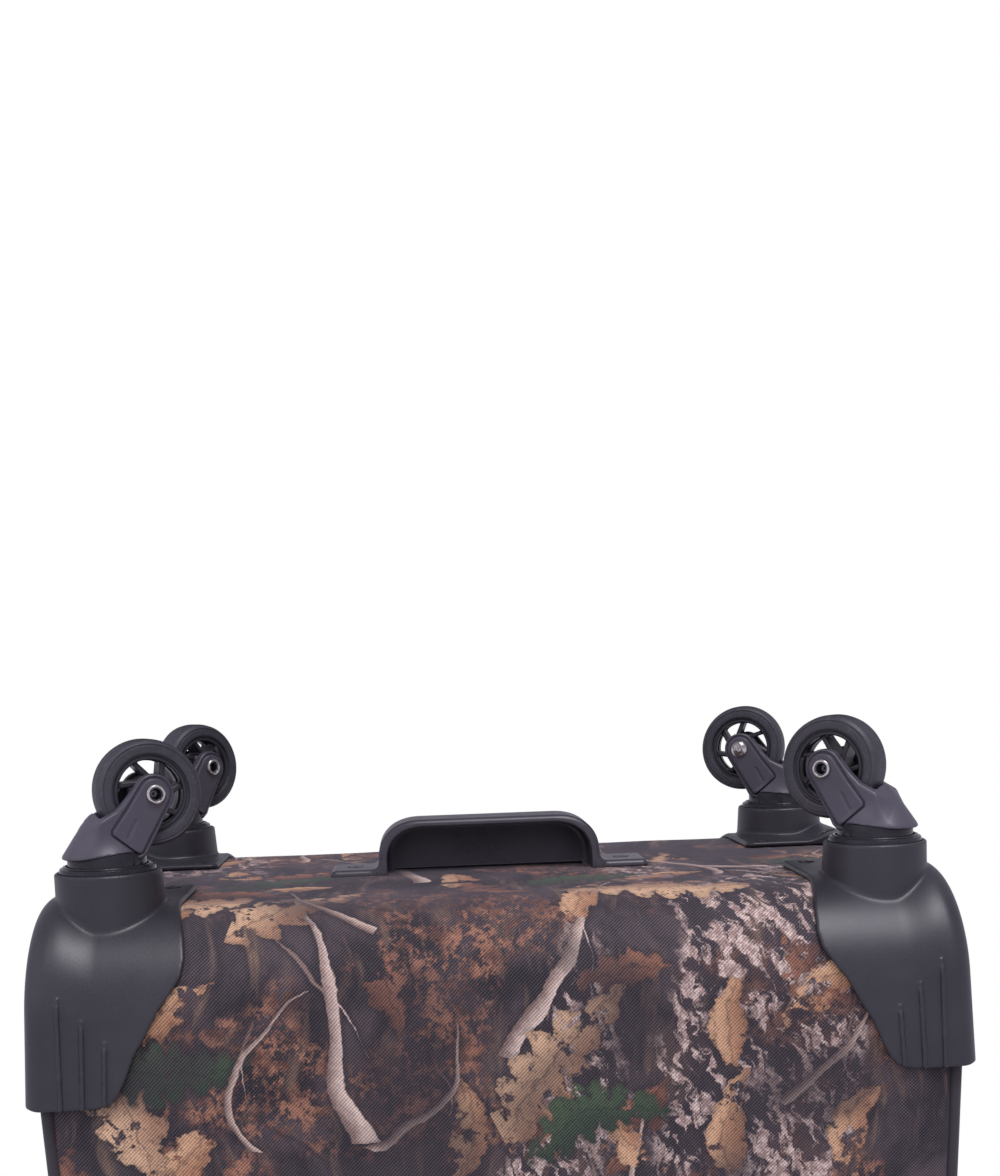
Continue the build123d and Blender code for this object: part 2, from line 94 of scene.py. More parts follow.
def sun(name, direction, strength, angle, color=(1, 1, 1)):
    """Soft studio light held to the camera. direction is where it comes from, in camera axes (right, up, back)."""
    d = bpy.data.lights.new(name, "SUN")
    d.energy = strength
    d.angle = math.radians(angle)
    d.color = color
    o = bpy.data.objects.new(name, d)
    scene.collection.objects.link(o)
    o.parent = cam
    o.rotation_mode = "QUATERNION"
    o.rotation_quaternion = Vector(direction).normalized().to_track_quat("Z", "Y")
    return o

sun("key", (0.25, 1.0, 0.75), 2.2, 26, (1.0, 0.97, 1.05))
sun("front", (0.1, 0.2, 1.0), 0.60, 40, (1.0, 0.97, 1.08))
sun("fill", (-1.0, 0.55, 0.8), 1.0, 40, (1.0, 0.97, 1.06))

#==FLOOR
def new_mat(name):
    m = bpy.data.materials.new(name)
    m.use_nodes = True
    m.node_tree.nodes.clear()
    return m, m.node_tree

m, t = new_mat("floor_paper")
o = t.nodes.new("ShaderNodeOutputMaterial")
dif = t.nodes.new("ShaderNodeBsdfDiffuse"); dif.inputs[0].default_value = (0.86, 0.86, 0.86, 1)
tr = t.nodes.new("ShaderNodeBsdfTransparent")
mx = t.nodes.new("ShaderNodeMixShader")
ge = t.nodes.new("ShaderNodeNewGeometry")
lpf = t.nodes.new("ShaderNodeLightPath")
mt = t.nodes.new("ShaderNodeMath"); mt.operation = "MAXIMUM"
t.links.new(ge.outputs["Backfacing"], mt.inputs[0])
t.links.new(lpf.outputs["Is Shadow Ray"], mt.inputs[1])
t.links.new(mt.outputs[0], mx.inputs[0])
t.links.new(dif.outputs[0], mx.inputs[1])
t.links.new(tr.outputs[0], mx.inputs[2])
t.links.new(mx.outputs[0], o.inputs[0])
fm = bpy.data.meshes.new("floor")
S = 6.0
fm.from_pydata([(-S, -S, 0), (S, -S, 0), (S, S, 0), (-S, S, 0)], [], [(0, 1, 2, 3)])
fm.materials.append(m)
floor = bpy.data.objects.new("floor", fm)
scene.collection.objects.link(floor)


#==SDF
# Moulded parts are signed-distance shapes, meshed with surface nets and pulled onto the surface.
def sd_round(a, b, r):
    """Intersection of two solids with a rounded edge."""
    return np.minimum(-r, np.maximum(a, b)) + np.hypot(np.maximum(r + a, 0), np.maximum(r + b, 0))

def sd_blend(a, b, k):
    """Union of two solids with a filleted joint."""
    h = np.maximum(k - np.abs(a - b), 0) / k
    return np.minimum(a, b) - h * h * h * k / 6.0

def sd_cut(a, b, k):
    """a minus b with a softened edge."""
    return -sd_blend(-a, b, k)

def sd_poly(x, y, pts):
    """Signed distance to a closed polygon, negative inside."""
    d = np.full(np.broadcast(x, y).shape, 1e18)
    s = np.ones(d.shape)
    n = len(pts)
    for i in range(n):
        ax, ay = pts[i]
        bx, by = pts[i - 1]
        ex, ey = bx - ax, by - ay
        wx, wy = x - ax, y - ay
        t = np.clip((wx * ex + wy * ey) / (ex * ex + ey * ey), 0, 1)
        d = np.minimum(d, (wx - ex * t) ** 2 + (wy - ey * t) ** 2)
        c1, c2, c3 = y >= ay, y < by, ex * wy > ey * wx
        s = np.where((c1 & c2 & c3) | (~c1 & ~c2 & ~c3), -s, s)
    return s * np.sqrt(d)

def sd_box(x, y, z, c, h, r):
    qx, qy, qz = np.abs(x - c[0]) - h[0] + r, np.abs(y - c[1]) - h[1] + r, np.abs(z - c[2]) - h[2] + r
    return np.sqrt(np.maximum(qx, 0) ** 2 + np.maximum(qy, 0) ** 2 + np.maximum(qz, 0) ** 2) + np.minimum(np.maximum(qx, np.maximum(qy, qz)), 0) - r

def spline(pts, n=10, closed=True):
    """Smooth closed curve through points."""
    p = np.array(pts, float)
    m = len(p)
    out = []
    for i in range(m if closed else m - 1):
        if closed:
            a, b, c, d = p[i - 1], p[i], p[(i + 1) % m], p[(i + 2) % m]
        else:
            a, b, c, d = p[max(i - 1, 0)], p[i], p[i + 1], p[min(i + 2, m - 1)]
        for k in range(n):
            t = k / n
            out.append(0.5 * ((2 * b) + (c - a) * t + (2 * a - 5 * b + 4 * c - d) * t * t + (3 * b - a - 3 * c + d) * t ** 3))
    if not closed:
        out.append(p[-1])
    return np.array(out)

def mesh_sdf(f, lo, hi, step, project=3):
    """Quads and vertices of the zero surface of f(x, y, z) inside a box."""
    ax = [np.arange(lo[k], hi[k] + step, step) for k in range(3)]
    X, Y, Z = ax[0][:, None, None], ax[1][None, :, None], ax[2][None, None, :]
    V = np.broadcast_to(f(X, Y, Z), tuple(len(a) for a in ax)).astype(np.float32)
    S = V < 0
    n0, n1, n2 = (s - 1 for s in V.shape)
    corners = [(i, j, k) for i in (0, 1) for j in (0, 1) for k in (0, 1)]
    cnt = np.zeros((n0, n1, n2), np.uint8)
    for i, j, k in corners:
        cnt += S[i:i + n0, j:j + n1, k:k + n2]
    act = (cnt > 0) & (cnt < 8)
    idx = np.full(act.shape, -1, np.int64)
    cells = np.argwhere(act)
    idx[act] = np.arange(len(cells))
    vals = np.stack([V[cells[:, 0] + i, cells[:, 1] + j, cells[:, 2] + k] for i, j, k in corners], 1)
    acc = np.zeros((len(cells), 3)); num = np.zeros(len(cells))
    for a in range(8):
        for b in range(a + 1, 8):
            ca, cb = np.array(corners[a]), np.array(corners[b])
            if np.abs(ca - cb).sum() != 1:
                continue
            va, vb = vals[:, a], vals[:, b]
            cr = (va < 0) != (vb < 0)
            t = np.where(cr, va / np.where(cr, va - vb, 1), 0)
            acc += np.where(cr[:, None], ca + (cb - ca) * t[:, None], 0)
            num += cr
    P = np.array(lo) + (cells + acc / num[:, None]) * step
    quads = []
    for axis in range(3):
        sl = [slice(1, s - 1) for s in V.shape]
        sl[axis] = slice(0, V.shape[axis] - 1)
        sh = [slice(1, s - 1) for s in V.shape]
        sh[axis] = slice(1, V.shape[axis])
        A, B = S[tuple(sl)], S[tuple(sh)]
        e = np.argwhere(A != B)
        base = e.copy()
        off = [0, 0, 0]
        for k in range(3):
            if k != axis:
                base[:, k] += 1
        u, v = [k for k in range(3) if k != axis]
        c = []
        for du, dv in ((0, 0), (1, 0), (1, 1), (0, 1)):
            q = base.copy()
            q[:, u] -= du
            q[:, v] -= dv
            c.append(idx[q[:, 0], q[:, 1], q[:, 2]])
        Q = np.stack(c, 1)
        inside_first = A[tuple(e.T)]
        flip = inside_first if axis != 1 else ~inside_first
        Q[flip] = Q[flip][:, ::-1]
        quads.append(Q)
    Q = np.concatenate(quads)
    Q = Q[:, ::-1]
    h = step * 0.25
    for _ in range(project):
        def at(P):
            return np.asarray(f(P[:, 0], P[:, 1], P[:, 2]), float)
        d = at(P)
        g = np.stack([at(P + np.eye(3)[k] * h) - at(P - np.eye(3)[k] * h) for k in range(3)], 1) / (2 * h)
        g2 = (g * g).sum(1)
        mv = -(d / np.maximum(g2, 0.25))[:, None] * g
        l = np.linalg.norm(mv, axis=1)
        mv *= np.minimum(1, step * 0.5 / np.maximum(l, 1e-9))[:, None]
        P = P + mv
    return P, Q

#==GUARD SHAPE (mm; x across, y inwards from the face, z down from the bottom panel)
RIBS = [(205.7, -33.0, 209.0), (195.5, -43.6, 199.0), (186.0, -54.0, 189.0)]
FACE_OUT = [(153.4, 30), (153.2, 2), (150.8, -3), (148.6, -10), (148.0, -19), (149.6, -26), (155.0, -33.8), (160.8, -41), (167.8, -53), (173.4, -61.4),
            (178.6, -73.0), (182.2, -79.6), (186.6, -84.4), (192.5, -87.0), (199.7, -87.5), (221.0, -87.5), (224.6, -86.6), (230, -86.2), (260, -86), (260, 30)]
SIDE_OUT = [(107.0, 30), (102.5, 2), (101.8, -3), (99.0, -14.3), (93.0, -24.6), (84.0, -35.6), (75.0, -47.5), (66.5, -61.4),
            (60.5, -73.0), (56.5, -79.6), (51.5, -84.4), (45.0, -87.0), (38.0, -87.5), (-30, -87.5), (-30, 30)]
SCREWS = [(164.0, 93.0), (203.0, 93.0)]

def guard_skin(x, y, z):
    dn = np.maximum(-z, -8)
    side = x - (219.2 + 0.093 * dn)
    face = -y - (2.1 + 0.030 * dn)
    t = np.clip((x - 188.0) / 20.0, 0, 1)
    bottom = z - 3.0 - 5.0 * t * t * (3 - 2 * t)
    return sd_round(sd_round(face, bottom, 49.0), side * 0.996, 11.0)

def guard_sdf(x, y, z):
    skin = guard_skin(x, y, z)
    rad = np.hypot(x - 185.5, y - 42.5)
    sock = sd_round(rad - (24.8 + 0.045 * (19.0 - z)), z - 19.0, 1.3)
    body = sd_blend(skin, sock, 2.4)
    # raised ribs on the face skirt
    for x0, z0, x1 in RIBS:
        cx = x0 + (x1 - x0) * (z0 - z) / (z0 + 87.0)
        rib = np.maximum(np.abs(x - cx) - 1.05, z - z0)
        rib = np.maximum(rib, skin - np.clip((z0 - z) * 0.3, 0.6, 1.45))
        body = sd_blend(body, rib, 0.7)
    inner = np.maximum(skin + 2.7, -60)
    hollow = inner
    shell = sd_cut(body, np.maximum(hollow, rad * 0 + z - 0.3), 0.6)
    shell = sd_cut(shell, sd_round(rad - 22.8, -z + 5.0, 1.0), 0.8)
    shell = np.maximum(shell, 4.0 - rad if False else shell)
    cut = np.maximum(sd_poly(x, z, FACE_OUT), -200)
    cut2 = np.maximum(sd_poly(y, z, SIDE_OUT), -200)
    outline = sd_round(cut, cut2, 5.0)
    shell = sd_round(shell, outline, 1.1)
    for sx, sy in SCREWS:
        rr = np.hypot(x - sx, y - sy)
        shell = sd_cut(shell, np.maximum(rr - 4.2, 1.4 - z), 0.6)
        shell = np.maximum(shell, 1.95 - rr)
    return shell

#==FORK SHAPE (mm; x along the trail, y along the axle, z up from the bottom panel towards the floor)
EAR = [(22.0 + 9.2 * math.cos(math.radians(a)), 54.1 + 9.2 * math.sin(math.radians(a))) for a in range(-38, 151, 9)] + \
      [(8.8, 52.6), (3.2, 47.2), (-4.5, 43.2), (-13.5, 35.5), (-19.5, 26.8), (-10.0, 27.4), (-3.0, 28.0), (1.5, 28.4), (5.8, 26.4), (9.6, 24.2), (13.6, 24.3), (16.3, 27.0)]
STRAP = [(22.0 + 7.0 * math.cos(math.radians(a)), 54.1 + 7.0 * math.sin(math.radians(a))) for a in range(-34, 149, 9)] + \
        [(9.0, 48.0), (1.0, 38.2), (0.7, 36.6), (11.6, 27.2), (13.4, 27.6)]

def fork_sdf(x, y, z):
    ay = np.abs(y)
    rad = np.hypot(x, y)
    # hood: a cone whose skirt ends in a crisp lip, lower at the back than at the ears
    cone = (rad - (19.6 - 0.72 * (z - 26.0))) * 0.81
    cone = sd_round(cone, 26.0 + 0.10 * (x + 19) - z, 0.3)
    cone = sd_round(cone, z - 46.0, 2.0)
    pe = sd_poly(x, z, EAR)
    ear = sd_round(pe, ay - 14.3, 1.5)
    back = np.clip((-x - 2.0) / 10.0, 0, 1)
    ear = sd_round(ear, (np.hypot(np.minimum(x, 0.0), ay) - (19.3 - 0.72 * np.maximum(z - 26.0, 0) * back)) * 0.81, 1.0)
    core = sd_round(rad - 15.0, z - 30.0, 0.5)
    core = sd_round(core, 24.0 - z, 0.5)
    f = sd_blend(cone, ear, 7.0)
    f = np.minimum(f, core)
    ps = sd_poly(x, z, STRAP)
    panel = sd_round(ps, ay - 15.1, 0.6)
    # groove round the strap, deepest round its lower end
    f = sd_cut(f, np.maximum(np.abs(ps - 0.55) - 0.45, 13.5 - ay), 0.35)
    f = sd_blend(f, np.maximum(panel, 12.0 - ay), 0.45)
    # slender recess along the strap
    tx, tz = (x - 9.6) * 0.50 + (z - 38.6) * 0.866, (x - 9.6) * 0.866 - (z - 38.6) * 0.50
    slot = sd_round(np.abs(tx) - 5.0, np.abs(tz) - 0.7, 0.6)
    f = sd_cut(f, np.maximum(slot, 14.85 - ay), 0.3)
    wheel = sd_round(np.hypot(x - 22.0, z - 54.0) - 27.3, ay - 9.3, 1.0)
    f = sd_cut(f, wheel, 0.8)
    f = sd_cut(f, np.hypot(x - 22.0, z - 54.0) - 3.0, 0.4)
    return f

#==HUB SHAPE (mm; axle along z, hollow rivet end at +z)
def hub_sdf(x, y, z):
    r = np.hypot(x, y)
    az = np.abs(z)
    rim = sd_round(sd_round(r - 17.36, 15.5 - r, 0.4), az - 7.3, 0.5)
    rim = sd_blend(rim, sd_round(sd_round(r - 17.36, 15.0 - r, 0.3), az - 1.2, 0.5), 1.0)
    boss = sd_round(r - 7.6, az - 9.0, 0.9)
    boss = sd_cut(boss, np.maximum(np.abs(r - 5.2) - 0.5, 8.3 - az), 0.3)
    ang = np.arctan2(y, x)
    f = sd_blend(rim, boss, 0.5)
    for i in range(7):
        a = 2 * math.pi * i / 7
        p0 = (6.4 * math.cos(a - 0.62), 6.4 * math.sin(a - 0.62))
        p1 = (16.6 * math.cos(a), 16.6 * math.sin(a))
        dx, dy = p1[0] - p0[0], p1[1] - p0[1]
        L = math.hypot(dx, dy)
        dx, dy = dx / L, dy / L
        t = (x - p0[0]) * dx + (y - p0[1]) * dy
        s = np.abs(-(x - p0[0]) * dy + (y - p0[1]) * dx)
        sp = sd_round(np.maximum(s - 1.25, np.maximum(-t, t - L)), az - 4.8 - 0.15 * np.clip(L - t, 0, L), 0.5)
        f = sd_blend(f, sp, 1.6)
    return sd_cut(f, r - 3.05, 0.3)

def half_arch(w, h, rx, rz, foot):
    """Arch outline of half width w and height h with large soft shoulders, as a closed polygon reaching below the panel."""
    q = [(w + foot, 3.0), (w + foot * 0.35, 5.0)]
    for a in np.linspace(0, math.pi / 2, 22):
        q.append((w - rx + rx * math.cos(a) ** 0.86, h - rz + rz * math.sin(a) ** 0.86))
    q = [(w + foot, -9.0)] + q
    return q + [(-a, b) for a, b in q[::-1]]

ARCH = half_arch(59.8, 28.8, 24.0, 21.0, 2.2)
HOLE = half_arch(55.4, 25.0, 21.5, 18.5, 0.0)

#==BOTTOM HANDLE SHAPE (mm; x across, y from the back face inwards minus 145, z down from the bottom panel)
def handle_sdf(x, y, z):
    ax = np.abs(x)
    pa = sd_poly(x, z, ARCH)
    ph = sd_poly(x, z, HOLE)
    shell = sd_round(pa, np.abs(y) - 17.2 + 0.16 * np.maximum(z - 4, 0), 2.2)
    plate = sd_round(sd_box(x, y, z, (0, 0, 0.0), (86.0, 16.6, 3.5), 3.0), -z - 0.1, 0.3)
    f = sd_blend(np.maximum(shell, ax - 63.5), plate, 3.5)
    # scoop, open towards the back face; its far wall leans in towards the panel
    wall = 12.5 - 9.0 * np.clip((24.0 - z) / 24.0, 0, 1) ** 1.6
    hollow = sd_round(ph, (y - wall) * 0.94, 3.2)
    f = sd_cut(f, hollow, 1.0)
    f = sd_cut(f, np.maximum(np.maximum(ax - 52.0, -3.0 - z), np.maximum(z - 1.0, np.abs(y) - 12.5)), 0.8)
    # bead round the mouth
    bead = np.hypot(ph - 1.5, y + 16.0 - 0.16 * np.maximum(z - 4, 0)) - 1.35
    f = sd_blend(f, np.maximum(bead, 1.0 - z), 1.0)
    for s in (-73.0, 73.0):
        rr = np.hypot(x - s, y)
        f = sd_cut(f, np.maximum(rr - 4.2, 1.5 - z), 0.5)
        f = np.maximum(f, 1.95 - rr)
    return f

#==PULL HANDLE GRIP SHAPE (mm; x along the grip, y across, z up from its middle)
def grip_sdf(x, y, z):
    ax = np.abs(x)
    wave = 0.5 - 0.5 * np.cos(x * 2 * math.pi / 22.0)
    under = -z - 12.9 + 1.5 * wave * np.clip((64.0 - ax) / 6.0, 0, 1)
    crown = z - 12.9 + 0.00012 * x * x
    sec = sd_round(sd_round(np.abs(y) - 14.3 + 0.00010 * x * x, crown, 8.5), under, 8.5)
    f = sd_round(sec, ax - 95.8, 5.5)
    skin = f
    # joint lines between the soft middle and the end caps
    f = sd_cut(f, np.maximum(np.abs(ax - 66.0) - 0.6, -skin - 0.7), 0.3)
    # grip lines on both long sides
    for z0 in (-4.5, -1.5, 1.5, 4.5):
        line = np.maximum(np.maximum(np.abs(z - z0) - 0.45, ax - 60.0), 10.0 - np.abs(y))
        f = sd_cut(f, np.maximum(line, -skin - 0.55), 0.3)
    q = np.hypot(np.maximum(ax - 15.0, 0), np.maximum(np.abs(y) - 0.5, 0)) - 6.5
    return sd_cut(f, np.maximum(q, 4.4 - z), 0.4)

#==NODE ALGEBRA
def lin(r, g, b):
    def f(c):
        c /= 255.0
        return c / 12.92 if c <= 0.04045 else ((c + 0.055) / 1.055) ** 2.4
    return (f(r), f(g), f(b), 1.0)

class E:
    """A float or vector socket that can be combined with ordinary arithmetic."""
    def __init__(self, tree, sock):
        self.t, self.s = tree, sock
    def op(self, name, *args, clamp=False):
        n = self.t.nodes.new("ShaderNodeMath")
        n.operation = name
        n.use_clamp = clamp
        for i, a in enumerate((self,) + args):
            if isinstance(a, E):
                self.t.links.new(a.s, n.inputs[i])
            else:
                n.inputs[i].default_value = a
        return E(self.t, n.outputs[0])
    def __add__(self, o): return self.op("ADD", o)
    __radd__ = __add__
    def __mul__(self, o): return self.op("MULTIPLY", o)
    __rmul__ = __mul__
    def __sub__(self, o): return self.op("SUBTRACT", o)
    def __rsub__(self, o): return (self * -1.0) + o
    def __truediv__(self, o): return self.op("DIVIDE", o)
    def __neg__(self): return self * -1.0
    def abs(self): return self.op("ABSOLUTE")
    def sin(self): return self.op("SINE")
    def cos(self): return self.op("COSINE")
    def frac(self): return self.op("FRACT")
    def sqrt(self): return self.op("SQRT")
    def pow(self, p): return self.op("POWER", p)
    def min(self, o): return self.op("MINIMUM", o)
    def max(self, o): return self.op("MAXIMUM", o)
    def gt(self, o): return self.op("GREATER_THAN", o)
    def lt(self, o): return self.op("LESS_THAN", o)
    def clamp(self): return self.op("ADD", 0.0, clamp=True)
    def step(self, a, b, lo=0.0, hi=1.0, smooth=True):
        n = self.t.nodes.new("ShaderNodeMapRange")
        n.interpolation_type = "SMOOTHSTEP" if smooth else "LINEAR"
        self.t.links.new(self.s, n.inputs[0])
        for i, v in ((1, a), (2, b), (3, lo), (4, hi)):
            n.inputs[i].default_value = v
        return E(self.t, n.outputs[0])

def join(t, x, y, z=0.0):
    n = t.nodes.new("ShaderNodeCombineXYZ")
    for i, a in enumerate((x, y, z)):
        if isinstance(a, E):
            t.links.new(a.s, n.inputs[i])
        else:
            n.inputs[i].default_value = a
    return E(t, n.outputs[0])

def split(v):
    n = v.t.nodes.new("ShaderNodeSeparateXYZ")
    v.t.links.new(v.s, n.inputs[0])
    return [E(v.t, o) for o in n.outputs]

def noise(v, scale=1.0, detail=2.0, rough=0.5, dist=0.0, dims="3D"):
    n = v.t.nodes.new("ShaderNodeTexNoise")
    n.noise_dimensions = dims
    v.t.links.new(v.s, n.inputs["Vector"])
    n.inputs["Scale"].default_value = scale
    n.inputs["Detail"].default_value = detail
    n.inputs["Roughness"].default_value = rough
    n.inputs["Distortion"].default_value = dist
    return E(v.t, n.outputs[0])

def voronoi(v, scale=1.0, rnd=1.0, feature="F1", dims="2D"):
    n = v.t.nodes.new("ShaderNodeTexVoronoi")
    n.voronoi_dimensions = dims
    n.feature = feature
    v.t.links.new(v.s, n.inputs["Vector"])
    n.inputs["Scale"].default_value = scale
    n.inputs["Randomness"].default_value = rnd
    return n

def mixc(t, f, a, b):
    n = t.nodes.new("ShaderNodeMix")
    n.data_type = "RGBA"
    n.clamp_factor = True
    for sock, a_ in ((n.inputs[0], f), (n.inputs[6], a), (n.inputs[7], b)):
        if isinstance(a_, E):
            t.links.new(a_.s, sock)
        else:
            sock.default_value = a_
    return E(t, n.outputs[2])

def scalec(t, c, f):
    """Colour times a float."""
    n = t.nodes.new("ShaderNodeVectorMath")
    n.operation = "SCALE"
    t.links.new(c.s, n.inputs[0])
    if isinstance(f, E):
        t.links.new(f.s, n.inputs[3])
    else:
        n.inputs[3].default_value = f
    return E(t, n.outputs[0])

def material(name):
    m = bpy.data.materials.new(name)
    m.use_nodes = True
    t = m.node_tree
    t.nodes.clear()
    o = t.nodes.new("ShaderNodeOutputMaterial")
    p = t.nodes.new("ShaderNodeBsdfPrincipled")
    t.links.new(p.outputs[0], o.inputs[0])
    return m, t, p

def setp(t, p, **kw):
    for k, v in kw.items():
        sock = p.inputs[k.replace("_", " ")]
        if isinstance(v, E):
            t.links.new(v.s, sock)
        else:
            sock.default_value = v

def bump(t, p, h, strength=0.3, dist=0.0005):
    n = t.nodes.new("ShaderNodeBump")
    n.inputs["Strength"].default_value = strength
    n.inputs["Distance"].default_value = dist
    t.links.new(h.s, n.inputs["Height"])
    t.links.new(n.outputs[0], p.inputs["Normal"])

def coords(t, mm=True):
    """Object coordinates, in millimetres."""
    n = t.nodes.new("ShaderNodeTexCoord")
    v = E(t, n.outputs["Object"])
    if not mm:
        return v
    s = t.nodes.new("ShaderNodeVectorMath")
    s.operation = "SCALE"
    s.inputs[3].default_value = 1000.0
    t.links.new(v.s, s.inputs[0])
    return E(t, s.outputs[0])

def edge_wear(t, lo=0.53, hi=0.62):
    g = t.nodes.new("ShaderNodeNewGeometry")
    return E(t, g.outputs["Pointiness"]).step(lo, hi)

#==PLASTICS, RUBBER, METAL
def plastic(name, col, rough=0.5, grain=0.25, grain_mm=0.45, sheen=0.0, wear=0.35, scuff=0.5):
    m, t, p = material(name)
    v = coords(t)
    big = noise(v, 0.02, 3, 0.6)
    fine = noise(v, 1.0 / grain_mm, 2, 0.6)
    scr = noise(v, 0.35, 5, 0.75, 0.6)
    base = mixc(t, big.step(0.35, 0.7), tuple(c * 0.90 for c in col[:3]) + (1,), tuple(c * 1.12 for c in col[:3]) + (1,))
    light = tuple(min(1, c * 1.7 + 0.01) for c in col[:3]) + (1,)
    base = mixc(t, edge_wear(t) * (scr.step(0.4, 0.6) * wear), base, light)
    base = mixc(t, (fine.step(0.45, 0.75)) * 0.18, base, light)
    r = big.step(0.3, 0.7, rough - 0.04, rough + 0.05) + fine.step(0.3, 0.8, -0.05, 0.06) + scr.step(0.62, 0.72, 0.0, -0.07 * scuff)
    setp(t, p, Base_Color=base, Roughness=r)
    p.inputs["Specular IOR Level"].default_value = 0.5
    if sheen:
        p.inputs["Sheen Weight"].default_value = sheen
        p.inputs["Sheen Roughness"].default_value = 0.4
        p.inputs["Sheen Tint"].default_value = (0.86, 0.84, 1.0, 1)
    bump(t, p, fine * 0.7 + scr * 0.3, grain, 0.00012)
    return m

def rubber(name, col, rough=0.62):
    m, t, p = material(name)
    v = coords(t)
    big = noise(v, 0.06, 3, 0.6)
    dust = noise(v, 0.5, 5, 0.7, 0.5)
    fine = noise(v, 3.0, 2, 0.6)
    base = mixc(t, big.step(0.35, 0.7), tuple(c * 0.9 for c in col[:3]) + (1,), tuple(c * 1.12 for c in col[:3]) + (1,))
    base = mixc(t, dust.step(0.52, 0.75) * 0.22, base, lin(132, 126, 128))
    setp(t, p, Base_Color=base, Roughness=dust.step(0.3, 0.7, rough - 0.06, rough + 0.08))
    p.inputs["Specular IOR Level"].default_value = 0.45
    bump(t, p, fine * 0.5 + dust * 0.5, 0.25, 0.00015)
    return m

def metal(name, col, rough=0.28, brushed=(1, 1, 1), wear=0.5):
    m, t, p = material(name)
    v = coords(t)
    x, y, z = split(v)
    b = noise(join(t, x * brushed[0], y * brushed[1], z * brushed[2]), 1.0, 4, 0.7)
    sp = noise(v, 0.8, 4, 0.7)
    dark = tuple(c * 0.55 for c in col[:3]) + (1,)
    base = mixc(t, sp.step(0.5, 0.75) * wear * 0.5 + b.step(0.4, 0.8) * 0.15, col, dark)
    setp(t, p, Base_Color=base, Roughness=b.step(0.3, 0.7, rough - 0.06, rough + 0.10), Metallic=1.0)
    bump(t, p, b, 0.12, 0.0001)
    return m

#==MESH HELPERS
def make_object(name, P, F, body, mats=(), smooth=True, replaces=(), midx=None):
    """P in metres. F is an array of quads, or a list of faces."""
    me = bpy.data.meshes.new(name)
    if isinstance(F, np.ndarray):
        me.vertices.add(len(P))
        me.vertices.foreach_set("co", np.asarray(P, np.float32).ravel())
        k = F.shape[1]
        me.loops.add(F.size)
        me.loops.foreach_set("vertex_index", F.astype(np.int32).ravel())
        me.polygons.add(len(F))
        me.polygons.foreach_set("loop_start", np.arange(0, F.size, k, dtype=np.int32))
        me.update(calc_edges=True)
        me.validate()
    else:
        me.from_pydata([tuple(p) for p in P], [], [tuple(f) for f in F])
        me.validate()
    if smooth:
        me.polygons.foreach_set("use_smooth", [True] * len(me.polygons))
    for mt_ in mats:
        me.materials.append(mt_)
    if midx is not None:
        me.polygons.foreach_set("material_index", midx)
    ob = bpy.data.objects.new(name, me)
    scene.collection.objects.link(ob)
    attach(ob, body)
    if replaces:
        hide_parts(*replaces)
    return ob

def lathe(prof, n=96, axis=2):
    """Closed profile of (radius, height) turned about an axis. Returns vertices in mm and quads, outward facing."""
    prof = np.array(prof, float)
    m = len(prof)
    a = np.arange(n) * 2 * math.pi / n
    V = np.stack([np.outer(np.cos(a), prof[:, 0]), np.outer(np.sin(a), prof[:, 0]), np.tile(prof[:, 1], (n, 1))], 2).reshape(-1, 3)
    i, j = np.meshgrid(np.arange(n), np.arange(m), indexing="ij")
    i2, j2 = (i + 1) % n, (j + 1) % m
    Q = np.stack([i * m + j, i2 * m + j, i2 * m + j2, i * m + j2], -1).reshape(-1, 4)
    # outward if the profile runs counter-clockwise in (r, z)
    ar = 0.5 * np.sum(prof[:, 0] * np.roll(prof[:, 1], -1) - np.roll(prof[:, 0], -1) * prof[:, 1])
    if ar < 0:
        Q = Q[:, ::-1]
    return V, Q

def round_poly(pts, seg=4):
    """Polygon with rounded corners: each point is (x, y, radius)."""
    out = []
    n = len(pts)
    for i in range(n):
        p0, p1, p2 = np.array(pts[i - 1][:2], float), np.array(pts[i][:2], float), np.array(pts[(i + 1) % n][:2], float)
        r = pts[i][2]
        d0, d1 = p0 - p1, p2 - p1
        l0, l1 = np.linalg.norm(d0), np.linalg.norm(d1)
        if r <= 0:
            out.append(tuple(p1))
            continue
        d0, d1 = d0 / l0, d1 / l1
        c = np.clip(d0 @ d1, -1, 1)
        half = math.acos(c) / 2
        cut = min(r / math.tan(half), l0 * 0.49, l1 * 0.49)
        a, b = p1 + d0 * cut, p1 + d1 * cut
        for k in range(seg + 1):
            t = k / seg
            out.append(tuple((1 - t) ** 2 * a + 2 * t * (1 - t) * p1 + t * t * b))
    return out

def rotz(P, deg):
    c, s = math.cos(math.radians(deg)), math.sin(math.radians(deg))
    return P @ np.array([[c, s, 0], [-s, c, 0], [0, 0, 1]])

CASTERS = {"back_left": (-185.5, 102.5, -24.2, 1, 12.0), "back_right": (185.5, 102.5, -141.9, -1, 30.0),
           "front_left": (-185.5, -102.5, -44.5, 1, 3.0), "front_right": (185.5, -102.5, -157.7, 1, 41.0)}

def from_fork(P, cx, cy, yaw):
    """Fork frame (x trail, y axle, z height above the panel, upwards = towards the floor) to the row frame, in metres."""
    W = np.stack([P[:, 0], P[:, 1], 79.0 - P[:, 2]], 1)
    W = rotz(W, yaw)
    return (W + np.array([cx, cy, 0])) / 1000.0

def from_wheel(P, cx, cy, yaw, hollow):
    """Wheel frame (z along the axle, towards the hollow end) to the row frame, in metres."""
    W = np.stack([22.0 + P[:, 0], hollow * P[:, 2], 25.0 + (-hollow) * P[:, 1]], 1)
    return (rotz(W, yaw) + np.array([cx, cy, 0])) / 1000.0

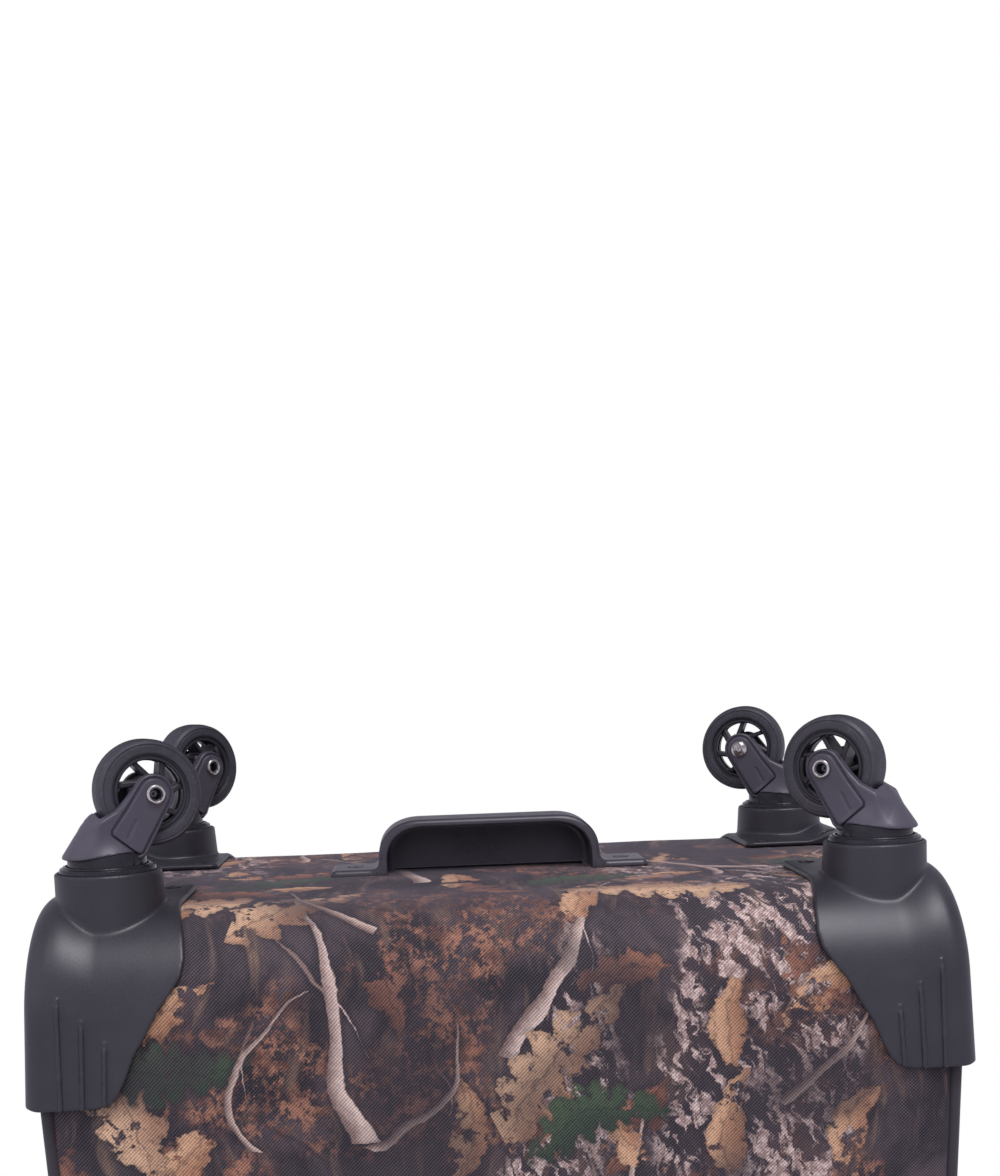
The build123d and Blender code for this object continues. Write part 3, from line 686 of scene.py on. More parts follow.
#==MATERIALS FOR HARD PARTS
M_GUARD = plastic("guard_plastic", lin(39, 38, 44), 0.40, 0.5, 0.55, 0.0, 0.25)
M_FORK = plastic("fork_plastic", lin(66, 63, 73), 0.38, 0.35, 0.45, 0.0, 0.35)
M_HANDLE = plastic("handle_plastic", lin(56, 54, 62), 0.34, 0.2, 0.5, 0.0, 0.35)
M_NECK = plastic("collar_plastic", lin(30, 30, 36), 0.17, 0.03, 0.8, 0.0, 0.2, 0.1)
M_TYRE = rubber("tyre_urethane", lin(54, 53, 60), 0.5)
M_HUB = plastic("hub_plastic", lin(38, 38, 44), 0.36, 0.3, 0.5, 0.0, 0.3)
M_NICKEL = metal("rivet_nickel", (0.72, 0.69, 0.67, 1), 0.20, wear=0.3)
M_SCREW = metal("screw_black", (0.16, 0.16, 0.17, 1), 0.34)

#==GUARDS
gP, gQ = mesh_sdf(guard_sdf, (144, -6.5, -89), (230, 105, 21), 0.9)
for name, sx, sy in (("back_right", 1, 1), ("back_left", -1, 1), ("front_right", 1, -1), ("front_left", -1, -1)):
    P = np.stack([gP[:, 0] * sx, (145.0 - gP[:, 1]) * sy, 79.0 - gP[:, 2]], 1) / 1000.0
    # the base mapping (x, 145 - y, 79 - z) keeps handedness
    Q = gQ if sx * sy > 0 else gQ[:, ::-1]
    make_object("corner_guard_" + name, P, Q, "case", [M_GUARD], replaces=["guard_" + name])

#==CASTERS
fP, fQ = mesh_sdf(fork_sdf, (-22.5, -22.0, 6.5), (34, 22.0, 65.5), 0.55)
hP, hQ = mesh_sdf(hub_sdf, (-18.5, -18.5, -10.5), (18.5, 18.5, 10.5), 0.45)
TY = round_poly([(17.4, -6.9, 0.3), (18.0, -6.9, 0.2), (18.3, -8.1, 0.5), (19.2, -8.35, 0.4), (22.0, -8.35, 0.3), (22.15, -8.0, 0.15), (22.5, -8.0, 0.15), (22.7, -8.25, 0.3),
                 (23.4, -8.05, 0.8), (24.5, -6.5, 1.2), (25.0, -3.4, 2.5), (25.0, 3.4, 2.5), (24.5, 6.5, 1.2), (23.4, 8.05, 0.8),
                 (22.7, 8.25, 0.3), (22.5, 8.0, 0.15), (22.15, 8.0, 0.15), (22.0, 8.35, 0.3), (19.2, 8.35, 0.4), (18.3, 8.1, 0.5), (18.0, 6.9, 0.2), (17.4, 6.9, 0.3), (17.4, 1.0, 0.0), (17.4, -1.0, 0.0)], 4)
tP, tQ = lathe(TY, 128)
RIVET = round_poly([(2.98, 15.1, 0.0), (3.9, 15.1, 0.2), (4.45, 15.5, 0.3), (4.5, 16.3, 0.4), (3.95, 16.85, 0.4), (3.35, 16.75, 0.3), (3.0, 16.1, 0.2)], 4)
rP, rQ = lathe(RIVET, 64)
PLUG = round_poly([(0.02, 12.0, 0.0), (2.4, 12.0, 0.0), (2.4, 11.0, 0.0), (0.02, 11.0, 0.0)], 1)
SHANK = [(2.62, -15.0), (2.99, -15.0), (2.99, 16.0), (2.8, 16.2), (2.62, 16.0)]
sP, sQ = lathe(SHANK, 48)
pP, pQ = lathe(PLUG, 48)
DOME = [(0.02, -15.2), (0.02, -18.3), (1.2, -18.2), (2.4, -17.85), (3.5, -17.25), (4.4, -16.45), (4.95, -15.7), (5.0, -15.3), (4.6, -15.2)]
dP, dQ = lathe(DOME[::-1], 64)
RINGP = round_poly([(17.2, 13.0, 0.0), (22.6, 13.0, 0.0), (22.6, 19.3, 0.3), (22.1, 20.9, 0.6), (20.9, 21.3, 0.4), (20.5, 21.9, 0.3), (19.4, 22.0, 0.3), (19.2, 18.4, 0.3), (17.2, 18.0, 0.0)], 4)
cP, cQ = lathe(RINGP, 128)
NECK = round_poly([(10.0, 8.0, 0.0), (17.0, 8.0, 0.5), (17.0, 17.0, 0.0), (18.3, 19.0, 0.3), (18.3, 26.8, 0.0), (17.3, 28.2, 0.3), (10.0, 28.2, 0.0)], 3)
nP, nQ = lathe(NECK, 96)
ringV, ringF, off = [], [], 0
for c, (cx, cy, yaw, hollow, phase) in CASTERS.items():
    make_object("caster_fork_" + c, from_fork(fP, cx, cy, yaw), fQ[:, ::-1], "caster_" + c, [M_FORK], replaces=["fork_" + c])
    make_object("caster_neck_" + c, from_fork(nP, cx, cy, yaw), nQ[:, ::-1], "caster_" + c, [M_NECK])
    ph = rotz(hP, phase)
    make_object("wheel_hub_" + c, from_wheel(ph, cx, cy, yaw, hollow), hQ, "wheel_" + c, [M_HUB], replaces=["hub_" + c])
    make_object("wheel_tyre_" + c, from_wheel(tP, cx, cy, yaw, hollow), tQ, "wheel_" + c, [M_TYRE], replaces=["tyre_" + c])
    V = np.concatenate([rP, dP, sP, pP])
    F = np.concatenate([rQ, dQ + len(rP), sQ + len(rP) + len(dP), pQ + len(rP) + len(dP) + len(sP)])
    kinds = np.zeros(len(F), np.int32)
    kinds[len(rQ) + len(dQ):] = 1
    make_object("axle_rivet_" + c, from_wheel(V, cx, cy, yaw, hollow), F, "caster_" + c, [M_NICKEL, M_SCREW], replaces=["axle_" + c], midx=kinds)
    ringV.append((np.stack([cP[:, 0] + cx, cP[:, 1] + cy, 79.0 - cP[:, 2]], 1)) / 1000.0)
    ringF.append(cQ + off)
    off += len(cP)
make_object("swivel_collars", np.concatenate(ringV), np.concatenate(ringF)[:, ::-1], "case", [M_NECK], replaces=["swivel_rings"])

#==BOTTOM HANDLE
bP, bQ = mesh_sdf(handle_sdf, (-90, -22, -2.5), (90, 22, 33), 0.7)
make_object("bottom_grab_handle", np.stack([bP[:, 0], -bP[:, 1], 79.0 - bP[:, 2]], 1) / 1000.0, bQ, "case", [M_HANDLE], replaces=["bottom_handle"])

#==FABRIC MATERIAL
def camo_colour(t, uv, seed=0.0):
    """Own woodland print: dark ground, blurred trunks, pale bark, twigs, broken leaves. Millimetres in, colour out."""
    u, v, _ = split(uv)
    wob = noise(join(t, u * 0.011, v * 0.011, seed + 3.1), 1.0, 2, 0.5)
    wob2 = noise(join(t, u * 0.011 + 31.0, v * 0.011, seed + 9.7), 1.0, 2, 0.5)
    uw = u + (wob - 0.5) * 50.0
    vw = v + (wob2 - 0.5) * 50.0
    j1 = noise(join(t, u * 0.075, v * 0.075, seed + 1.0), 1.0, 4, 0.62)
    j2 = noise(join(t, u * 0.075 + 17.0, v * 0.075, seed + 2.0), 1.0, 4, 0.62)
    ue = u + (j1 - 0.5) * 17.0
    ve = v + (j2 - 0.5) * 17.0
    jag = noise(join(t, u * 0.30, v * 0.22, seed), 1.0, 4, 0.72)
    mot = noise(join(t, uw * 0.030, vw * 0.022, seed + 5.0), 1.0, 5, 0.62)
    # ground, smoky
    col = mixc(t, mot.step(0.36, 0.64), lin(33, 29, 35), lin(72, 62, 66))
    # blurred trunks and grass behind, running upwards
    streak = noise(join(t, uw * 0.085, vw * 0.016, seed + 8.0), 1.0, 5, 0.62)
    col = mixc(t, streak.step(0.50, 0.68) * 0.85, col, lin(108, 88, 76))
    col = mixc(t, streak.step(0.60, 0.74) * mot.step(0.40, 0.55) * 0.8, col, lin(150, 122, 98))
    # rust litter, mottled
    rz = noise(join(t, uw * 0.0115 + 4.0, vw * 0.013, seed + 22.0), 1.0, 2, 0.5)
    rust = mixc(t, j2.step(0.38, 0.62), lin(88, 58, 48), lin(160, 112, 88))
    col = mixc(t, rz.step(0.50, 0.60) * (jag + (j1 - 0.5) * 0.9).step(0.44, 0.60) * 0.90, col, rust)
    # pale bark: broken upright flakes over the dark
    colm = noise(join(t, uw * 0.0105, vw * 0.0034, seed + 12.3), 1.0, 1, 0.5) + (j1 - 0.5) * 0.10
    bm = colm.step(0.560, 0.615)
    flake = noise(join(t, ue * 0.15 + ve * 0.05, ve * 0.060, seed + 14.0), 1.0, 4, 0.66)
    pale = mixc(t, jag.step(0.42, 0.60), lin(158, 132, 124), lin(216, 194, 184))
    col = mixc(t, bm * 0.55, col, lin(52, 45, 51))
    col = mixc(t, bm * (flake + (mot - 0.5) * 0.4).step(0.495, 0.575) * 0.92, col, pale)
    fade = noise(join(t, u * 0.013 + 8.0, v * 0.012, seed + 40.0), 1.0, 1, 0.5)

    ut = uw + (j1 - 0.5) * 4.0
    vt = vw + (j2 - 0.5) * 4.0

    def cell(size, sd, rnd=0.6, ue=ue, ve=ve):
        n = voronoi(join(t, u / size + sd, v / size + sd * 0.37), 1.0, rnd)
        p = n.outputs["Position"]
        px, py, _ = split(E(t, p))
        r, g, b = split(E(t, n.outputs["Color"]))
        dx = (ue / size + sd - px) * size
        dy = (ve / size + sd * 0.37 - py) * size
        return dx, dy, r, g, b

    def leaf(col, size, L, W, sd, keep, c0, c1, c2, spread=6.283, turn=0.0, lobes=0.0, torn=0.40, soft=0.5):
        dx, dy, r, g, b = cell(size, sd + seed)
        a = r * spread + turn
        ca, sa = a.cos(), a.sin()
        lx = dx * ca + dy * sa
        ly = dy * ca - dx * sa
        ly = ly + lx * lx * (b - 0.5) * (0.9 / L)
        k = 0.75 + g * 0.5
        n = lx / L / k
        w = (1.0 - n * n) * (1.0 - n * 0.38) * W
        if lobes:
            w = w * ((lx * (6.283 / lobes)).sin().abs() * 0.55 + 0.50)
        al = ly.abs()
        hole = noise(join(t, u * 0.055 + sd, v * 0.055, seed + sd), 1.0, 4, 0.68).step(torn - 0.02, torn + 0.03)
        body = (n.abs().lt(1.0)) * g.gt(1.0 - keep) * hole
        inside = (w - al).step(-soft, soft) * body
        # one half of the leaf lies in shade
        half = (ly / W * 0.9 + 0.5 + (jag - 0.5) * 0.9).clamp()
        tone = mixc(t, half, c1, c0)
        tone = mixc(t, (jag.step(0.50, 0.66)) * 0.55 + (w - al).step(W * 0.35, 0.0) * 0.35, tone, c2)
        rib = (al * -1.0).step(-1.1, -0.4)
        tone = mixc(t, rib * 0.45, tone, c2)
        sh = (w - (al - 2.8)).step(-2.0, 1.5) * body
        col = mixc(t, sh * 0.40, col, lin(30, 26, 32))
        return mixc(t, inside, col, tone)

    def twig(col, size, L, W, sd, keep, c0, c1, spread=6.283, turn=0.0):
        dx, dy, r, g, b = cell(size, sd + seed, 0.6, ut, vt)
        a = r * spread + turn
        ca, sa = a.cos(), a.sin()
        lx = dx * ca + dy * sa
        ly = dy * ca - dx * sa
        ly = ly + lx * lx * (b - 0.5) * (1.1 / L)
        n = lx / L
        w = W * (0.85 - n * 0.62) + (jag - 0.5) * (W * 0.75)
        al = ly.abs()
        # side shoot leaving at an angle
        l2 = ((ly - lx * 0.62) * 0.85 + 2.0).abs()
        w2 = w * 0.55 - (lx - L * 0.35).abs() * (W / L) * 0.9
        d = (w - al).max((w2 - l2) * 1.0)
        keepm = n.abs().lt(1.0) * g.gt(1.0 - keep)
        inside = d.step(-0.3, 0.5) * keepm
        tone = mixc(t, (ly / W * 0.55 + 0.5 + (jag - 0.5) * 1.1).clamp(), c0, c1)
        col = mixc(t, (d + 2.6).step(-1.0, 2.0) * keepm * 0.45, col, lin(34, 29, 36))
        return mixc(t, inside, col, tone)

    col = leaf(col, 74.0, 27.0, 12.5, 11.3, 0.55, lin(146, 100, 78), lin(96, 64, 54), lin(58, 42, 42), 6.283, 0.0, 23.0, 0.46, 0.9)
    col = twig(col, 150.0, 66.0, 3.6, 5.9, 0.85, lin(212, 190, 176), lin(126, 104, 96), 1.7, 0.7)
    col = leaf(col, 62.0, 24.0, 9.0, 71.7, 0.42, lin(206, 164, 128), lin(168, 122, 92), lin(98, 70, 56), 2.2, 0.1, 0.0, 0.47, 0.5)
    col = leaf(col, 112.0, 44.0, 17.0, 23.9, 0.40, lin(216, 178, 142), lin(160, 122, 96), lin(66, 52, 50), 2.6, 0.6, 29.0, 0.43, 0.6)
    col = leaf(col, 170.0, 34.0, 15.0, 91.2, 0.36, lin(66, 84, 60), lin(44, 60, 46), lin(34, 42, 36), 1.2, -0.6, 21.0, 0.38, 1.6)
    col = twig(col, 96.0, 40.0, 1.9, 37.4, 0.50, lin(196, 172, 158), lin(112, 90, 84), 1.6, 0.9)
    col = mixc(t, fade.step(0.50, 0.36) * 0.72, col, lin(46, 40, 46))
    return col, jag

def fabric(name, wrap=False, gain=1.0, seed=0.0):
    """Printed twill. Prints run across the face panels and turn with the gussets."""
    m, t, p = material(name)
    P = coords(t)
    x, y, z = split(P)
    tc = t.nodes.new("ShaderNodeTexCoord")
    nx, ny, nz = split(E(t, tc.outputs["Normal"]))
    side = nx.abs().gt(0.74)
    top = nz.abs().gt(0.74)
    if wrap:
        at = t.nodes.new("ShaderNodeAttribute")
        at.attribute_name = "wrap"
        s = E(t, at.outputs["Fac"])
    else:
        s = (z * -1.0) * (1.0 - top) + (y + 300.0) * top
    u = x * (1.0 - side) + (y * 1.0 + 700.0) * side
    v = s * (1.0 - side) + (z * -1.0) * side
    uv = join(t, u, v, 0.0)
    col, jag = camo_colour(t, uv, seed)
    # twill: strong right-hand diagonal, weak left-hand one
    ph = (u - v) * 0.545
    ph2 = (u + v) * 0.610
    fuzz = noise(join(t, u * 0.9, v * 0.9, 1.0), 1.0, 2, 0.6)
    a = ((ph + fuzz * 0.35) * 6.28318).sin()
    b = ((ph2 + fuzz * 0.3) * 6.28318).sin()
    w = a * 0.34 + b * 0.16 + 0.5
    slub = noise(join(t, (u - v) * 0.05, (u + v) * 0.9, 4.0), 1.0, 2, 0.6)
    lum = w * 0.78 + 0.43 + (slub - 0.5) * 0.25
    col = scalec(t, col, lum * gain)
    # threads catch a little light over the dark ground
    col = mixc(t, (w - 0.45).clamp() * 0.16, col, lin(168, 158, 170))
    fold = noise(join(t, u * 0.006, v * 0.006, 7.0), 1.0, 3, 0.55)
    setp(t, p, Base_Color=col, Roughness=(w * -1.0 + 1.0).step(0.2, 0.8, 0.66, 0.86))
    p.inputs["Specular IOR Level"].default_value = 0.28
    p.inputs["Sheen Weight"].default_value = 0.12
    p.inputs["Sheen Roughness"].default_value = 0.5
    p.inputs["Sheen Tint"].default_value = (0.9, 0.86, 1.0, 1)
    bump(t, p, w * 0.6 + slub * 0.25 + fold * 2.0, 0.55, 0.00035)
    return m

def cloth_plain(name, col, pitch=1.1, rough=0.8, gain=0.35, rib=None):
    """Woven tape, binding or lining. rib is not used."""
    m, t, p = material(name)
    P = coords(t)
    x, y, z = split(P)
    q = 6.28318 / pitch
    a = ((x + z) * q).sin()
    b = ((y - z + x * 0.4) * q).sin()
    w = a * 0.3 + b * 0.3 + 0.5
    n = noise(P, 0.05, 3, 0.6)
    fz = noise(P, 1.6, 3, 0.7)
    dark = tuple(c * (1 - gain) for c in col[:3]) + (1,)
    lite = tuple(c * (1 + gain) + 0.004 for c in col[:3]) + (1,)
    base = mixc(t, w * 0.7 + fz * 0.3, dark, lite)
    base = mixc(t, n.step(0.45, 0.75) * 0.25, base, lite)
    setp(t, p, Base_Color=base, Roughness=rough)
    p.inputs["Specular IOR Level"].default_value = 0.3
    p.inputs["Sheen Weight"].default_value = 0.15
    bump(t, p, w + fz * 0.4, 0.5, 0.0003)
    return m

M_CAMO = fabric("camo_twill_wrap", wrap=True)
M_CAMO2 = fabric("camo_twill", wrap=False, seed=4.0)
M_BIND = cloth_plain("binding_rib", lin(46, 42, 48), 1.3, 0.6)
M_TAPE = cloth_plain("zip_tape", lin(44, 42, 46), 0.9, 0.82)
M_WEB = cloth_plain("webbing", lin(48, 46, 52), 1.6, 0.75)
M_LINING = cloth_plain("lining_cloth", lin(70, 68, 74), 0.8, 0.85)

#==FABRIC FORMS (mm)
def smooth01(t):
    t = np.clip(t, 0, 1)
    return t * t * (3 - 2 * t)

def form_sdf(x, y, z, g=0.0):
    cy = np.abs(y) - 145.0 - g
    f = sd_round(cy, 79.0 - g - z, 46.0 + g)
    side = sd_round(np.abs(x) - 218.0 - g, z - 739.0 - g, 34.0 + g)
    return sd_round(f, side, 12.0 + 8.0 * smooth01((150.0 - z) / 50.0) + g)

def wrap_s(y, z):
    q = math.pi / 2
    s = np.where(y > 0, -(z - 125.0), 92 * q + 198 + (z - 125.0))
    s = np.where((y > 99) & (z < 125), 46 * np.arctan2(125 - z, y - 99), s)
    s = np.where((np.abs(y) <= 99) & (z < 400), 46 * q + 99 - y, s)
    s = np.where((y < -99) & (z < 125), 46 * q + 198 + 46 * np.arctan2(-99 - y, 125 - z), s)
    s = np.where((y > 133) & (z > 727), -602 - 12 * np.arctan2(z - 727, y - 133), s)
    s = np.where((y <= 133) & (z > 690) & (y > -140), -602 - 12 * q - (133 - y), s)
    return s

def grid_noise(P, scale, seed):
    """Smooth value noise on points, seeded."""
    rng = np.random.RandomState(seed)
    T = rng.rand(32, 32, 32)
    Q = P * scale + 100.0
    i = np.floor(Q).astype(int)
    f = Q - i
    f = f * f * (3 - 2 * f)
    out = 0
    for a in (0, 1):
        for b in (0, 1):
            for c in (0, 1):
                wgt = (f[:, 0] if a else 1 - f[:, 0]) * (f[:, 1] if b else 1 - f[:, 1]) * (f[:, 2] if c else 1 - f[:, 2])
                out = out + wgt * T[(i[:, 0] + a) % 32, (i[:, 1] + b) % 32, (i[:, 2] + c) % 32]
    return out * 2 - 1

def normals(P, Q):
    n = np.zeros_like(P)
    fn = np.cross(P[Q[:, 2]] - P[Q[:, 0]], P[Q[:, 3]] - P[Q[:, 1]])
    for k in range(4):
        np.add.at(n, Q[:, k], fn)
    return n / np.maximum(np.linalg.norm(n, axis=1), 1e-12)[:, None]

FP, FQ = mesh_sdf(form_sdf, (-226, -153, 71), (226, 153, 747), 5.0)

def cut_shell(name, keep, planes, body, mat, replaces, wrap, wall=3.2, relief=None, source=None):
    """The part of the case form that keep() accepts, cut clean along planes, with a wall turned inwards."""
    me = bpy.data.meshes.new(name)
    P_, Q_ = source or (FP, FQ)
    me.from_pydata([tuple(p) for p in P_], [], [tuple(q) for q in Q_])
    bm = bmesh.new()
    bm.from_mesh(me)
    for co, no, *near in planes:
        geom = bm.verts[:] + bm.edges[:] + bm.faces[:]
        if near:
            for seq in (bm.verts, bm.edges, bm.faces):
                seq.index_update()
            fs = [f for f in bm.faces if near[0](*f.calc_center_median())]
            vs = sorted({v for f in fs for v in f.verts}, key=lambda g: g.index)
            es = sorted({e for f in fs for e in f.edges}, key=lambda g: g.index)
            geom = vs + es + fs
        bmesh.ops.bisect_plane(bm, geom=geom, dist=0.3, plane_co=co, plane_no=no)
    dead = [f for f in bm.faces if not keep(*f.calc_center_median())]
    bmesh.ops.delete(bm, geom=dead, context="FACES")
    bmesh.ops.recalc_face_normals(bm, faces=bm.faces[:])
    bm.normal_update()
    co = np.array([v.co for v in bm.verts], float)
    no = np.array([v.normal for v in bm.verts], float)
    if relief is not None:
        co = co + no * relief(co)[:, None]
    for v, c in zip(bm.verts, co):
        v.co = c
    bm.normal_update()
    no = np.array([v.normal for v in bm.verts], float)
    nv = len(bm.verts)
    bm.verts.index_update()
    faces = [[v.index for v in f.verts] for f in bm.faces]
    rim = [(e.verts[0].index, e.verts[1].index, e.link_faces[0]) for e in bm.edges if len(e.link_faces) == 1]
    out = list(faces) + [[i + nv for i in reversed(f)] for f in faces]
    for a, b, f in rim:
        vs = [v.index for v in f.verts]
        k = vs.index(a)
        if vs[(k + 1) % len(vs)] == b:
            out.append([b, a, a + nv, b + nv])
        else:
            out.append([a, b, b + nv, a + nv])
    V = np.concatenate([co, co - no * wall])
    bm.free()
    ob = make_object(name, V / 1000.0, out, body, [mat, M_LINING], replaces=replaces)
    mi = np.zeros(len(ob.data.polygons), np.int32)
    mi[len(faces):2 * len(faces)] = 1
    if len(mi) == len(out):
        ob.data.polygons.foreach_set("material_index", mi)
    if wrap:
        at = ob.data.attributes.new("wrap", "FLOAT", "POINT")
        c2 = np.zeros(len(ob.data.vertices) * 3, np.float32)
        ob.data.vertices.foreach_get("co", c2)
        c2 = c2.reshape(-1, 3) * 1000.0
        at.data.foreach_set("value", wrap_s(c2[:, 1].astype(float), c2[:, 2].astype(float)).astype(np.float32))
    return ob

def relief_body(P):
    """Soft sag and pull of the cloth between its seams."""
    x, y, z = P.T
    ex = np.clip((218 - np.abs(x)) / 60.0, 0, 1)
    back = smooth01((y - 120) / 20.0) * smooth01(ex) * smooth01((z - 120) / 60.0) * smooth01((735 - z) / 60.0)
    side = smooth01((np.abs(x) - 205) / 8.0) * smooth01((138 - y) / 40.0) * smooth01((y + 92) / 40.0) * smooth01((z - 110) / 80.0) * smooth01((735 - z) / 60.0)
    under = smooth01((95 - z) / 12.0) * smooth01((180 - np.abs(x)) / 60.0)
    n = grid_noise(P, 1 / 60.0, 3) * 0.7 + grid_noise(P, 1 / 26.0, 5) * 0.3
    n2 = grid_noise(P * np.array([1, 1, 0.35]), 1 / 34.0, 8)
    pucker = np.exp(-((218 - np.abs(x)) / 16.0) ** 2) * smooth01((y - 100) / 30) * grid_noise(P * np.array([0.2, 0.2, 1.6]), 1 / 16.0, 9) * 0.35
    return back * (1.0 + 1.1 * n) + side * (2.6 + 1.8 * n2) + under * (0.5 * n) + pucker + 0.25 * n

def seat(x, y, z):
    return abs(x) < 101 and 92.6 < y < 131.4 and z > 700

def near_seat(x, y, z):
    return abs(x) < 112 and 82 < y < 140 and z > 725

body_fab = cut_shell("body_fabric", lambda x, y, z: not (y < -95 and z > 176) and not seat(x, y, z),
                     [((0, -95, 0), (0, 1, 0)), ((0, 0, 176), (0, 0, 1)), ((101, 0, 0), (1, 0, 0), near_seat), ((-101, 0, 0), (1, 0, 0), near_seat),
                      ((0, 92.6, 0), (0, 1, 0), near_seat), ((0, 131.4, 0), (0, 1, 0), near_seat)],
                     "case", M_CAMO, ["main_body"], True, relief=relief_body)

def relief_lid(P):
    x, y, z = P.T
    d = np.minimum(218 - np.abs(x), np.minimum(z - 178, 739 - z))
    front = smooth01((-y - 120) / 20.0) * smooth01(d / 50.0)
    n = grid_noise(P, 1 / 55.0, 13) * 0.7 + grid_noise(P, 1 / 24.0, 15) * 0.3
    return front * (1.2 + 1.3 * n) + 0.2 * n

lid_fab = cut_shell("lid_fabric", lambda x, y, z: y < -99.6 and z > 178, [((0, -99.6, 0), (0, 1, 0)), ((0, 0, 178), (0, 0, 1))],
                    "lid", M_CAMO2, ["lid_shell"], False, wall=2.6, relief=relief_lid)

#==SWEPT AND SEWN PIECES
def resample(path, step):
    path = np.array(path, float)
    seg = np.linalg.norm(np.diff(path, axis=0), axis=1)
    s = np.concatenate([[0], np.cumsum(seg)])
    n = max(2, int(round(s[-1] / step)) + 1)
    q = np.linspace(0, s[-1], n)
    return np.stack([np.interp(q, s, path[:, k]) for k in range(3)], 1)

def unit(v):
    return v / np.maximum(np.linalg.norm(v, axis=-1, keepdims=True), 1e-12)

def tangents(path):
    return unit(np.gradient(path, axis=0))

def sweep(path, out, prof):
    """Sections prof[i] = (m, 2) points (across, outwards) set along path, with out[i] the outward direction. Closed ends."""
    T = tangents(path)
    N = unit(out - (out * T).sum(1, keepdims=True) * T)
    A = np.cross(T, N)
    n, m = len(path), prof.shape[1]
    V = path[:, None] + A[:, None] * prof[:, :, :1] + N[:, None] * prof[:, :, 1:]
    V = V.reshape(-1, 3)
    i, j = np.meshgrid(np.arange(n - 1), np.arange(m), indexing="ij")
    j2 = (j + 1) % m
    Q = np.stack([i * m + j, i * m + j2, (i + 1) * m + j2, (i + 1) * m + j], -1).reshape(-1, 4)
    F = [tuple(q) for q in Q]
    F.append(tuple(range(m))[::-1])
    F.append(tuple((n - 1) * m + k for k in range(m)))
    # faces look outwards whichever way the section runs
    p = prof[0]
    area = 0.5 * np.sum(p[:, 0] * np.roll(p[:, 1], -1) - np.roll(p[:, 0], -1) * p[:, 1])
    if area > 0:
        F = [f[::-1] for f in F]
    return V, F

def circle(r, m=14):
    a = np.arange(m) * 2 * math.pi / m
    return np.stack([np.cos(a), np.sin(a)], 1) * r

def rect(w0, w1, h0, h1, r=0.25):
    return np.array(round_poly([(w0, h0, r), (w1, h0, r), (w1, h1, r), (w0, h1, r)], 2))

def joined(parts):
    V, F, off = [], [], 0
    for v, f in parts:
        V.append(v)
        F += [tuple(i + off for i in q) for q in f]
        off += len(v)
    return np.concatenate(V), F

def dashes(path, out, pitch=3.8, length=2.7, r=0.42, sink=0.12):
    """A row of thread stitches lying on a surface."""
    P = resample(path, pitch / 4.0)
    O = np.array(out, float)
    if O.ndim == 1:
        O = np.tile(O, (len(P), 1))
    else:
        O = np.stack([np.interp(np.linspace(0, 1, len(P)), np.linspace(0, 1, len(O)), O[:, k]) for k in range(3)], 1)
    T = tangents(P)
    N = unit(O - (O * T).sum(1, keepdims=True) * T)
    A = np.cross(T, N)
    c = np.arange(2, len(P) - 2, 4)
    P, T, N, A = P[c], T[c], N[c], A[c]
    sec = [(-0.5, 0.35, -0.15), (-0.25, 1.0, 0.10), (0.25, 1.0, 0.10), (0.5, 0.35, -0.15)]
    ring = [(1, 0), (0, 1), (-1, 0), (0, -1)]
    V = []
    for t, k, lift in sec:
        for a, b in ring:
            V.append(P + T * (t * length) + A * (a * r * k) + N * (b * r * k + lift - sink + r * 0.5))
    V = np.stack(V, 1)
    n = len(P)
    q = [(0, 1, 2, 3), (15, 14, 13, 12)]
    for s in range(3):
        for j in range(4):
            j2 = (j + 1) % 4
            q.append((s * 4 + j, (s + 1) * 4 + j, (s + 1) * 4 + j2, s * 4 + j2))
    F = (np.arange(n)[:, None, None] * 16 + np.array(q)[None]).reshape(-1, 4)
    return V.reshape(-1, 3), [tuple(f) for f in F]

def outline(y, g, z_low, step=3.0, r=34.0):
    """The case outline seen from the front, grown by g: points and outward directions."""
    x, zt, R = 218.0 + g, 739.0 + g, r + g
    pts, out = [], []
    def add(p, o):
        pts.append((p[0], y, p[1]))
        out.append((o[0], 0, o[1]))
    for z in np.linspace(z_low, zt - R, max(2, int((zt - R - z_low) / step))):
        add((-x, z), (-1, 0))
    for a in np.linspace(0, math.pi / 2, 20)[1:-1]:
        add((-x + R - R * math.cos(a), zt - R + R * math.sin(a)), (-math.cos(a), math.sin(a)))
    for u in np.linspace(-x + R, x - R, int((2 * x - 2 * R) / step)):
        add((u, zt), (0, 1))
    for a in np.linspace(math.pi / 2, 0, 20)[1:-1]:
        add((x - R + R * math.cos(a), zt - R + R * math.sin(a)), (math.cos(a), math.sin(a)))
    for z in np.linspace(zt - R, z_low, max(2, int((zt - R - z_low) / step))):
        add((x, z), (1, 0))
    return np.array(pts), np.array(out, float)

M_THREAD = cloth_plain("thread", lin(122, 114, 118), 0.6, 0.7)
M_COIL = plastic("zip_coil", lin(38, 37, 42), 0.38, 0.1, 0.4, 0.0, 0.3)

#==PIPING
def piping(name, y, z_low, body, node):
    P, O = outline(y, -0.6, z_low, 3.0, 34.0)
    n = grid_noise(P, 1 / 22.0, 21)
    prof = circle(3.1, 16)[None] * (1.0 + 0.03 * n)[:, None, None]
    V, F = sweep(P, O, prof)
    make_object(name, V / 1000.0, F, body, [M_BIND], replaces=[node])
piping("piping_back_cord", 140.0, 128.0, "case", "piping_back")
piping("piping_front_cord", -140.0, 182.0, "lid", "piping_front")

#==MAIN ZIP
def strip(y0, y1, g0, g1, z_low):
    yc = (y0 + y1) / 2
    P, O = outline(yc, 0.0, z_low, 6.0)
    T = tangents(P)
    A = np.cross(T, O)
    w = (y1 - y0) / 2
    return sweep(P, O, np.tile(rect(-w, w, g0, g1, 0.2), (len(P), 1, 1)))

